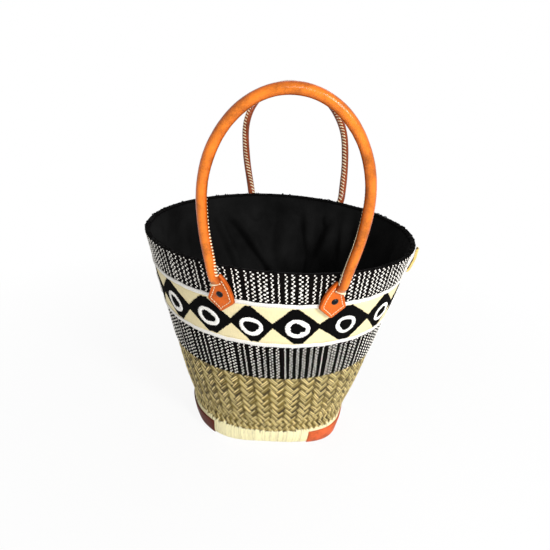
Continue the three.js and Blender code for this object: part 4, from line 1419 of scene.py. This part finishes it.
class BASKET_OT_tabs(Maker, bpy.types.Operator):
    """Cut the riveted tabs and their backings, and stitch them"""
    bl_idname = "basket.tabs"
    bl_label = "Handle tabs"

    # Height of a tab's face, and rows of (inset, height): of a tab with its groove, and of its wider backing
    FACE = PLATE_IN + PLATE_THICKNESS
    TAB = ((6.5, PLATE_IN), (0.5, PLATE_IN), (0, PLATE_IN + 0.5), (0, FACE - 0.8), (0.4, FACE - 0.2),
           (1.1, FACE), (3.0, FACE + 0.15), (3.6, FACE), (4.2, FACE - 0.45), (4.8, FACE), (5.6, FACE + 0.2),
           (9, FACE + 0.25))
    BACKING = ((6, 3.9), (0.4, 3.9), (0, 4.3), (0, 5.2), (0.5, 5.6), (6, 5.6))
    MARGIN = 0.9

    # The stitches: how far in their groove is and their spacing; and of the bar, how many there are, half its
    # length, its middle and its tilt
    GROOVE = 4.2
    PITCH = 4.1
    BAR_STITCHES = 8
    BAR_HALF = 6.6
    BAR_MIDDLE = (4.2, 15.2)
    BAR_TILT = math.radians(24)

    # Length, width and thickness of a stitch, each in the groove and in the bar
    STITCH = ((3.2, 2.8), (1.0, 3.2), (0.8, 1.3))

    def make(self, sizes, colours, wall):
        leather = tanned_leather("Tan leather, waxed", colours.tab_leather, 0.38, 0.65, 1.2)
        edge = tanned_leather("Tan leather, cut edge", shade(colours.tab_leather, 0.6), 0.6, 0.3, 1.2)
        half = sizes.roll_diameter / MM / 2
        for end in ENDS:
            fitting = Fitting(wall, sizes, end)
            outline = leaf_outline(fitting.side, 0, half)
            plate = leaf_plate(f"{end}_tab_leather", fitting, outline, self.TAB)
            dress(plate, leather, [f"{end}_tab"])
            wider = leaf_outline(fitting.side, self.MARGIN, half)
            backing = leaf_plate(f"{end}_backing_leather", fitting, wider, self.BACKING)
            dress(backing, edge, [f"{end}_backing"])
            waxed = spun_thread(colours, "Waxed linen thread")
            dress(self.stitches(end, fitting, outline), waxed)

    def stitches(self, end, fitting, outline):
        """White stitches in the groove, and the bar sewn across the end of the roll."""
        line = inset(outline, self.GROOVE)
        line = np.vstack([line, line[:1]])
        reach = reach_of(line)
        number = int(reach[-1] / self.PITCH)
        even = (np.arange(number) + 0.5) * reach[-1] / number
        spots = at_reach(even, reach, line)
        heading = at_reach((even + 1) % reach[-1], reach, line) - spots
        # The roll lies over the top of the line, so no stitch is seen there
        shown = ~((spots[:, 1] > 11) & (spots[:, 0] * fitting.side > -3))
        spots, heading = spots[shown], heading[shown]
        bar = np.linspace(-self.BAR_HALF, self.BAR_HALF, self.BAR_STITCHES)
        tilt = -fitting.side * self.BAR_TILT
        x, y = self.BAR_MIDDLE
        bar_spots = np.stack([x * fitting.side + bar * math.cos(tilt), y + bar * math.sin(tilt)], 1)
        crown = NECK_THICKNESS / 2 * (1 + np.sqrt(1 - (bar / 8) ** 2))
        base = np.concatenate([np.full(len(spots), self.FACE - 0.4), PLATE_IN + crown - 0.3])[:, None]
        turn = np.concatenate([np.arctan2(heading[:, 1], heading[:, 0]), np.full(len(bar), tilt)])[:, None]
        numbers = (len(spots), len(bar))
        long, wide, thick = (np.repeat(two, numbers)[:, None] for two in self.STITCH)
        spots = np.vstack([spots, bar_spots])
        seed, local = satin_stitch()
        along, up = rotated(local[:, 0] * long, local[:, 1] * wide, turn)
        placed = fitting.on_plate(spots[:, :1] + along, spots[:, 1:] + up, base + local[:, 2] * thick)
        tones = np.random.default_rng(51).uniform(0.3, 1, len(spots))
        return strew(f"{end}_tab_stitches", seed, placed.reshape(len(spots), -1, 3), tones)


class BASKET_OT_rivets(Maker, bpy.types.Operator):
    """Set the domed rivets and the washers they close on inside"""
    bl_idname = "basket.rivets"
    bl_label = "Rivets"

    # Outlines as (radius, out)
    CAP = ((0, 11.1), (1.6, 10.75), (3.0, 10.25), (4.1, 9.5), (4.7, 8.9), (4.75, 8.5), (4.4, 8.3), (1.8, 8.3),
           (1.8, -5.9), (3.2, -5.9), (3.1, -6.3), (2.2, -6.8), (0, -6.9))
    WASHER = ((2.1, -5.6), (4.6, -5.6), (5.0, -5.3), (5.0, -4.8), (4.7, -4.6), (2.1, -4.6), (2.1, -5.6))

    def make(self, sizes, colours, wall):
        steel = burnished_steel(colours)
        for end in ENDS:
            fitting = Fitting(wall, sizes, end)
            for kind, profile in (("rivet", self.CAP), ("washer", self.WASHER)):
                piece = self.spun(f"{end}_{kind}_steel", profile, fitting)
                dress(piece, steel, [f"{end}_{kind}"])

    def spun(self, name, profile, fitting):
        """A profile spun about the rivet's axis."""
        mesh = bpy.data.meshes.new(name)
        edges = [(i, i + 1) for i in range(len(profile) - 1)]
        mesh.from_pydata([(radius * MM, 0, out * MM) for radius, out in profile], edges, [])
        piece = bpy.data.objects.new(name, mesh)
        bpy.context.scene.collection.objects.link(piece)
        pick(piece)
        bpy.ops.object.mode_set(mode="EDIT")
        bpy.ops.mesh.select_all(action="SELECT")
        bpy.ops.mesh.spin(steps=28, angle=TURN, center=(0, 0, 0), axis=(0, 0, 1))
        bpy.ops.object.mode_set(mode="OBJECT")
        weld(piece)
        bpy.ops.object.shade_smooth_by_angle(angle=math.radians(40))
        set_points(piece, fitting.on_plate(*(points_of(piece).T / MM)))
        return piece


def bezier(points, steps):
    """Points along a cubic curve."""
    first, second, third, last = (np.array(p, float) for p in points)
    t = np.linspace(0, 1, steps)[:, None]
    return ((1 - t) ** 3 * first + 3 * t * (1 - t) ** 2 * second
            + 3 * t ** 2 * (1 - t) * third + t ** 3 * last)


class HandleLine:
    """Centre line of a handle from one tab to the other, with its axes and thickness."""

    # Distance between points of the line, how often it is smoothed, and points in a leg, a top and a neck
    STEP = 2.2
    SMOOTHINGS = 12
    LEG_POINTS = 40
    TOP_POINTS = 60
    NECK_POINTS = 22

    def __init__(self, wall, sizes, name):
        joint = next(j for j in frame["joints"] if j["name"] == f"{name}_handle_swing")
        self.hinge = np.array(joint["pos_m"])
        self.diameter = sizes.roll_diameter / MM
        axis = np.array(joint["axis"])
        lean = getattr(sizes, f"{name}_lean")
        inward = np.cross((0, 0, 1), axis)
        up = np.array([0, 0, math.cos(lean)]) - inward * math.sin(lean)
        necks = [self.neck(Fitting(wall, sizes, f"{name}_{end}")) for end in ("left", "right")]
        half_span = abs(np.dot(necks[1][0][-1] - necks[0][0][-1], axis)) / MM / 2
        loop = self.loop(sizes, name, half_span)
        loop = self.hinge + (loop[:, :1] * axis + loop[:, 1:] * up) * MM
        arch = (loop, np.tile(np.cross(axis, up), (len(loop), 1)), np.ones((len(loop), 1)))
        line, facings, thick = (
            np.vstack([left, middle, right[::-1]]) for left, middle, right in zip(necks[0], arch, necks[1]))
        reach = reach_of(line)
        self.length = reach[-1]
        self.even = np.linspace(0, reach[-1], int(reach[-1] / (self.STEP * MM)))
        self.line, facings, thick = (at_reach(self.even, reach, values) for values in (line, facings, thick))
        self.thick = thick[:, 0]
        for _ in range(self.SMOOTHINGS):
            for rows in (self.line, facings):
                rows[1:-1] = (rows[:-2] + 2 * rows[1:-1] + rows[2:]) / 4
        self.ahead = unit(np.gradient(self.line, axis=0))
        self.inner = unit(np.cross(self.ahead, facings))
        self.facing = np.cross(self.inner, self.ahead)

    def loop(self, sizes, name, half_span):
        """The arch from hinge to hinge, flat: across and up, in millimetres."""
        sway, rise, shoulder = (getattr(sizes, f"{name}_{key}") / MM for key in ("sway", "rise", "shoulder"))
        wide = sizes.handle_width / MM / 2
        # Share of its radius by which a quarter of an oval is drawn out at each end of its curve
        quarter = 4 / 3 * math.tan(math.pi / 8)

        def spot(x, z):
            """A point of the arch, which hangs to one side towards its top."""
            return x + sway * z / rise, z

        sides = []
        for side in (-1, 1):
            start = [spot(side * (half_span + z * math.tan(SPLAY)), z) for z in (0, shoulder / 3)]
            edge = [spot(side * wide, z) for z in (shoulder / 2, shoulder)]
            bow = spot(side * wide, shoulder + quarter * (rise - shoulder))
            leg = bezier([*start, *edge], self.LEG_POINTS)
            crown = [spot(side * quarter * wide, rise), spot(0, rise)]
            top = bezier([edge[1], bow, *crown], self.TOP_POINTS)
            sides.append(np.vstack([leg[1:], top[1:]]))
        return np.vstack([sides[0], sides[1][-2::-1]])

    def neck(self, fitting):
        """From the flattened end of the roll up to the hinge: points, facing and thickness."""
        start = fitting.foot + fitting.out * (PLATE_IN + self.diameter / 2) * MM
        high = (self.hinge[2] - start[2]) / fitting.rise[2] / MM
        steps = np.linspace(-1.5, high, self.NECK_POINTS)[:, None]
        thick = NECK_THICKNESS + (self.diameter - NECK_THICKNESS) * ease(steps / NECK_LENGTH)
        points = fitting.foot + (fitting.rise * steps + fitting.out * (PLATE_IN + thick / 2)) * MM
        return points, np.tile(fitting.out, (len(steps), 1)), thick / self.diameter


class BASKET_OT_handles(Maker, bpy.types.Operator):
    """Roll the two leather handles and whip-stitch their seams"""
    bl_idname = "basket.handles"
    bl_label = "Rolled handles"

    # Where the seam faces at shares of the handle's length: degrees from the inside of the arch towards the
    # outside of the basket
    SHARES = (0, 0.07, 0.12, 0.17, 0.28, 0.5, 0.72, 0.84, 0.93, 1)
    SEAM = {"front": (-2, -4, -12, -45, -60, -75, -60, -42, -32, -26),
            "rear": (-80, -78, -76, -74, -70, -100, -120, -95, -60, -35)}

    # Distance between whip stitches, and from either end to the first
    PITCH = {"front": 4.4, "rear": 5.6}
    UNSEWN = 17

    # Angles of the roll's section from the seam, close together near it, and the height and spread of its fin
    NEAR = (0.10, 0.2, 0.32, 0.5)
    FAR = 0.75
    FIN = 0.6
    FIN_SPREAD = 0.2

    # Waves in the roll's thickness by height, length and start, and how much wider it is where it is flat
    WAVES = ((0.12, 23, 0), (0.1, 9.5, 2))
    WIDER = 0.22

    # Heights in metres, from what stays on the basket to what swings
    BEND = (0.320, 0.338)

    # A whip stitch: how far it goes round the roll and slants along it, half its thickness along and out, how
    # far its middle stands out and how far its ends are tucked in
    WHIP_TURN = 1.3
    WHIP_SLANT = 4.6
    WHIP_ALONG = 1.25
    WHIP_OUT = 0.8
    WHIP_RISE = 0.2
    WHIP_TUCK = 1.2

    def make(self, sizes, colours, wall):
        leather = tanned_leather(
            "Tan leather, rolled and polished", colours.handle_leather, 0.2, 0.55, 1.3, colours.handle_painted_shade)
        waxed = spun_thread(colours, "Waxed linen thread")
        for name in ("front", "rear"):
            line = HandleLine(wall, sizes, name)
            roll = self.roll(name, line)
            dress(roll, leather, [f"{name}_handle_roll", f"{name}_handle_core"], body=None)
            seam = self.seam(name, line)
            dress(seam, waxed, body=None)
            for piece in (roll, seam):
                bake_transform(piece)

    def facing(self, name, share):
        """The way that the seam faces at each share of the handle's length, in radians."""
        return np.radians(np.interp(share, self.SHARES, self.SEAM[name]))

    def roll(self, name, line):
        """The leather, with a fin where its edges meet."""
        chance = np.random.default_rng(61)
        near = np.array(self.NEAR)
        spread = np.concatenate([[0], near, np.linspace(self.FAR, TURN - self.FAR, 17), TURN - near[::-1]])
        fin = self.FIN * bell(np.minimum(spread, TURN - spread), self.FIN_SPREAD)
        piece = fresh_grid(f"{name}_handle_leather", len(line.line) - 1, len(spread))
        along, round_it = shares_of(piece)
        step = np.rint(along * (len(line.line) - 1)).astype(int)
        spoke = np.rint(round_it * len(spread)).astype(int) % len(spread)
        swell = sum(high * np.sin(line.even / (long * MM) + start) for high, long, start in self.WAVES)
        swell = swell + chance.normal(0, 0.04, len(swell))
        radius = line.diameter / 2 + swell[step] + fin[spoke]
        angle = spread[spoke] + self.facing(name, line.even / line.length)[step]
        inner, facing, thick = line.inner[step], line.facing[step], line.thick[step]
        # The flattened ends are wider
        across = (radius * np.cos(angle) * (1 + self.WIDER * (1 - thick)) * MM)[:, None]
        outward = (radius * np.sin(angle) * thick * MM)[:, None]
        set_points(piece, line.line[step] + inner * across + facing * outward)
        # Painted light: the outer and upper side of the roll is painted lighter, up to a pale painted
        # highlight, and its flanks and the side facing into the basket darker, as painted shade
        upward = inner[:, 2] * np.cos(angle) + facing[:, 2] * np.sin(angle)
        painted_light = 0.5 + 0.5 * np.clip(np.sin(angle) + 0.3 * upward, -1, 1)
        worn = piece.data.attributes.new("worn", "FLOAT", "POINT")
        worn.data.foreach_set("value", painted_light.astype(np.float32))
        weld(piece)
        modify(piece, "SUBSURF", levels=1, render_levels=1)
        bpy.ops.object.shade_smooth()
        return piece

    def seam(self, name, line):
        """Slanted whip stitches over the seam, closer together on the front handle."""
        chance = np.random.default_rng(62)

        def over_seam(along, angle):
            """Places along, across and out of the roll, tucked in at both ends."""
            turn = self.WHIP_TURN * (along - 0.5)
            reach = line.diameter / 2 + self.WHIP_RISE + self.WHIP_OUT * np.cos(angle)
            reach = reach - self.WHIP_TUCK * np.abs(2 * along - 1) ** 4
            x = self.WHIP_SLANT * (along - 0.5) + self.WHIP_ALONG * np.sin(angle)
            return x, reach * np.sin(turn), reach * np.cos(turn)

        number = int((line.length / MM - 2 * self.UNSEWN) / self.PITCH[name])
        places = np.linspace(self.UNSEWN * MM, line.length - self.UNSEWN * MM, number)
        # No stitch is seen where the roll is flattened
        places = places[np.interp(places, line.even, line.thick) > 0.95]
        middle, ahead, inner, facing = (
            at_reach(places, line.even, rows)[:, None, :]
            for rows in (line.line, line.ahead, line.inner, line.facing))
        turn = self.facing(name, places / line.length)[:, None, None]
        crest = inner * np.cos(turn) + facing * np.sin(turn)
        flank = facing * np.cos(turn) - inner * np.sin(turn)
        seed, local = thread("whip_stitch", over_seam)
        x, y, z = (column[None, :, None] * MM for column in local.T)
        placed = middle + ahead * x + flank * y + crest * z
        return strew(f"{name}_handle_stitches", seed, placed, chance.uniform(0.1, 1, len(placed)))


def direct_rays(tree):
    """1 for what the camera sees straight, in a reflection or through something, 0 for light that falls."""
    rays = add_node(tree, "ShaderNodeLightPath").outputs
    seen = add_node(tree, "ShaderNodeMath", {
        0: rays["Is Camera Ray"], 1: rays["Is Glossy Ray"]}, operation="MAXIMUM")
    through = add_node(tree, "ShaderNodeMath", {
        0: seen.outputs[0], 1: rays["Is Transmission Ray"]}, operation="MAXIMUM")
    return through.outputs[0]


class BASKET_OT_stage(bpy.types.Operator):
    """Set the pale floor, the soft light and the camera"""
    bl_idname = "basket.stage"
    bl_label = "Stage"

    # Each lamp's name, place, target, size and power
    LAMPS = (
        ("Key", (1.2, -1.3, 1.1), (0, 0, 0.22), 0.5, 30.0),
        ("Top", (0.2, -1.4, 1.0), (0, 0, 0.4), 0.4, 6.0),
        ("Fill", (-1.2, -1.3, 0.7), (0, 0, 0.15), 1.2, 0.8),
        ("Back", (0.2, 1.5, 1.3), (0, 0, 0.25), 1.2, 6.0),
    )
    WORLD_LIGHT = 0.27

    # The photograph's camera: its direction and roll in degrees, what it looks at, from how far, and its lens
    AZIMUTH = 2.04
    ELEVATION = 26.8
    ROLL = 3.85
    TARGET = (0, 0, 0.1996)
    DISTANCE = 0.8395
    SENSOR = 36
    LENS = 33.83
    SHIFT = (-0.00135, 0.0437)

    def execute(self, context):
        self.floor()
        self.world(context)
        for lamp in self.LAMPS:
            self.lamp(*lamp)
        self.camera(context)
        context.scene.view_settings.view_transform = "Standard"
        return {"FINISHED"}

    def floor(self):
        """White floor that keeps a soft shadow near the basket: the rest of its brightness is its own."""
        bpy.ops.object.select_all(action="DESELECT")
        bpy.ops.mesh.primitive_circle_add(vertices=64, radius=6, fill_type="NGON", location=(0, 0, 0))
        piece = bpy.context.object
        piece.name = "floor"
        material = bpy.data.materials.new("White paper floor")
        material.use_nodes = True
        tree = material.node_tree
        tree.nodes.clear()
        paper = add_node(tree, "ShaderNodeBsdfDiffuse", {"Color": (0.9, 0.9, 0.9, 1)})
        bright = add_node(tree, "ShaderNodeEmission", {"Color": (1, 1, 1, 1), "Strength": 1.0})
        spot = add_node(tree, "ShaderNodeTexCoord")
        away = add_node(tree, "ShaderNodeVectorMath", {0: spot.outputs["Object"]}, operation="LENGTH")
        own = add_node(tree, "ShaderNodeMapRange", {
            "Value": away.outputs["Value"], "From Min": 0.2, "From Max": 0.8, "To Min": 0.9, "To Max": 1.0})
        share = add_node(tree, "ShaderNodeMath", {
            0: direct_rays(tree), 1: own.outputs[0]}, operation="MULTIPLY")
        mixed = add_node(tree, "ShaderNodeMixShader", {
            0: share.outputs[0], 1: paper.outputs[0], 2: bright.outputs[0]})
        add_node(tree, "ShaderNodeOutputMaterial", {"Surface": mixed.outputs[0]})
        piece.data.materials.append(material)

    def world(self, context):
        """White to the camera, plain grey light to the object."""
        world = bpy.data.worlds.new("White studio")
        world.use_nodes = True
        tree = world.node_tree
        tree.nodes.clear()
        light, white = (
            add_node(tree, "ShaderNodeBackground", {"Color": (1, 1, 1, 1), "Strength": strength})
            for strength in (self.WORLD_LIGHT, 1.0))
        mixed = add_node(tree, "ShaderNodeMixShader", {
            0: direct_rays(tree), 1: light.outputs[0], 2: white.outputs[0]})
        add_node(tree, "ShaderNodeOutputWorld", {"Surface": mixed.outputs[0]})
        context.scene.world = world

    def lamp(self, name, place, target, size, power):
        """A round soft lamp that faces its target."""
        bpy.ops.object.light_add(type="AREA", location=place)
        lamp = bpy.context.object
        lamp.name = name
        lamp.data.shape = "DISK"
        lamp.data.size = size
        lamp.data.energy = power
        lamp.rotation_euler = self.aim(unit(np.array(place) - np.array(target)), 0)

    def aim(self, back, roll):
        """Rotation of something that looks along -back, turned by roll."""
        right = unit(np.cross((0, 0, 1), back))
        up = np.cross(back, right)
        side = right * math.cos(roll) + up * math.sin(roll)
        top = up * math.cos(roll) - right * math.sin(roll)
        return Matrix([tuple(axis) for axis in (side, top, back)]).transposed().to_euler()

    def camera(self, context):
        """The photograph's own view: a little above, turned and rolled slightly, low in the frame."""
        azimuth, elevation, roll = (math.radians(v) for v in (self.AZIMUTH, self.ELEVATION, self.ROLL))
        level = np.array([math.sin(azimuth), -math.cos(azimuth), 0]) * math.cos(elevation)
        back = level + (0, 0, math.sin(elevation))
        bpy.ops.object.camera_add(location=np.array(self.TARGET) + back * self.DISTANCE)
        camera = bpy.context.object
        camera.rotation_euler = self.aim(back, roll)
        camera.data.sensor_width = self.SENSOR
        camera.data.lens = self.LENS
        camera.data.shift_x, camera.data.shift_y = self.SHIFT
        context.scene.camera = camera


class BASKET_PT_sidebar(bpy.types.Panel):
    """The basket's sizes, colours and pieces"""
    bl_idname = "BASKET_PT_sidebar"
    bl_label = "Embroidered basket"
    bl_space_type = "VIEW_3D"
    bl_region_type = "UI"
    bl_category = "Basket"

    def draw(self, context):
        for group in (context.scene.basket_sizes, context.scene.basket_colours):
            column = self.layout.column()
            for name in group.bl_rna.properties.keys():
                if name not in ("rna_type", "name"):
                    column.prop(group, name)
        for operator in OPERATORS:
            self.layout.operator(operator.bl_idname)


OPERATORS = (
    BASKET_OT_palm, BASKET_OT_lining, BASKET_OT_rim, BASKET_OT_bands, BASKET_OT_panel, BASKET_OT_cords,
    BASKET_OT_diamonds, BASKET_OT_rings, BASKET_OT_foot, BASKET_OT_patches, BASKET_OT_strip, BASKET_OT_tabs,
    BASKET_OT_rivets, BASKET_OT_handles, BASKET_OT_stage,
)
CLASSES = (BasketSizes, BasketColours, *OPERATORS, BASKET_PT_sidebar)


def register():
    for each in CLASSES:
        bpy.utils.register_class(each)
    bpy.types.Scene.basket_sizes = bpy.props.PointerProperty(type=BasketSizes)
    bpy.types.Scene.basket_colours = bpy.props.PointerProperty(type=BasketColours)


def unregister():
    del bpy.types.Scene.basket_colours
    del bpy.types.Scene.basket_sizes
    for each in reversed(CLASSES):
        bpy.utils.unregister_class(each)


def main():
    register()
    bpy.ops.basket.stage()
    bpy.ops.basket.palm()
    bpy.ops.basket.lining()
    bpy.ops.basket.rim()
    bpy.ops.basket.bands()
    bpy.ops.basket.panel()
    bpy.ops.basket.cords()
    bpy.ops.basket.diamonds()
    bpy.ops.basket.rings()
    bpy.ops.basket.foot()
    bpy.ops.basket.patches()
    bpy.ops.basket.strip()
    bpy.ops.basket.tabs()
    bpy.ops.basket.rivets()
    bpy.ops.basket.handles()


if __name__ == "__main__":
    main()
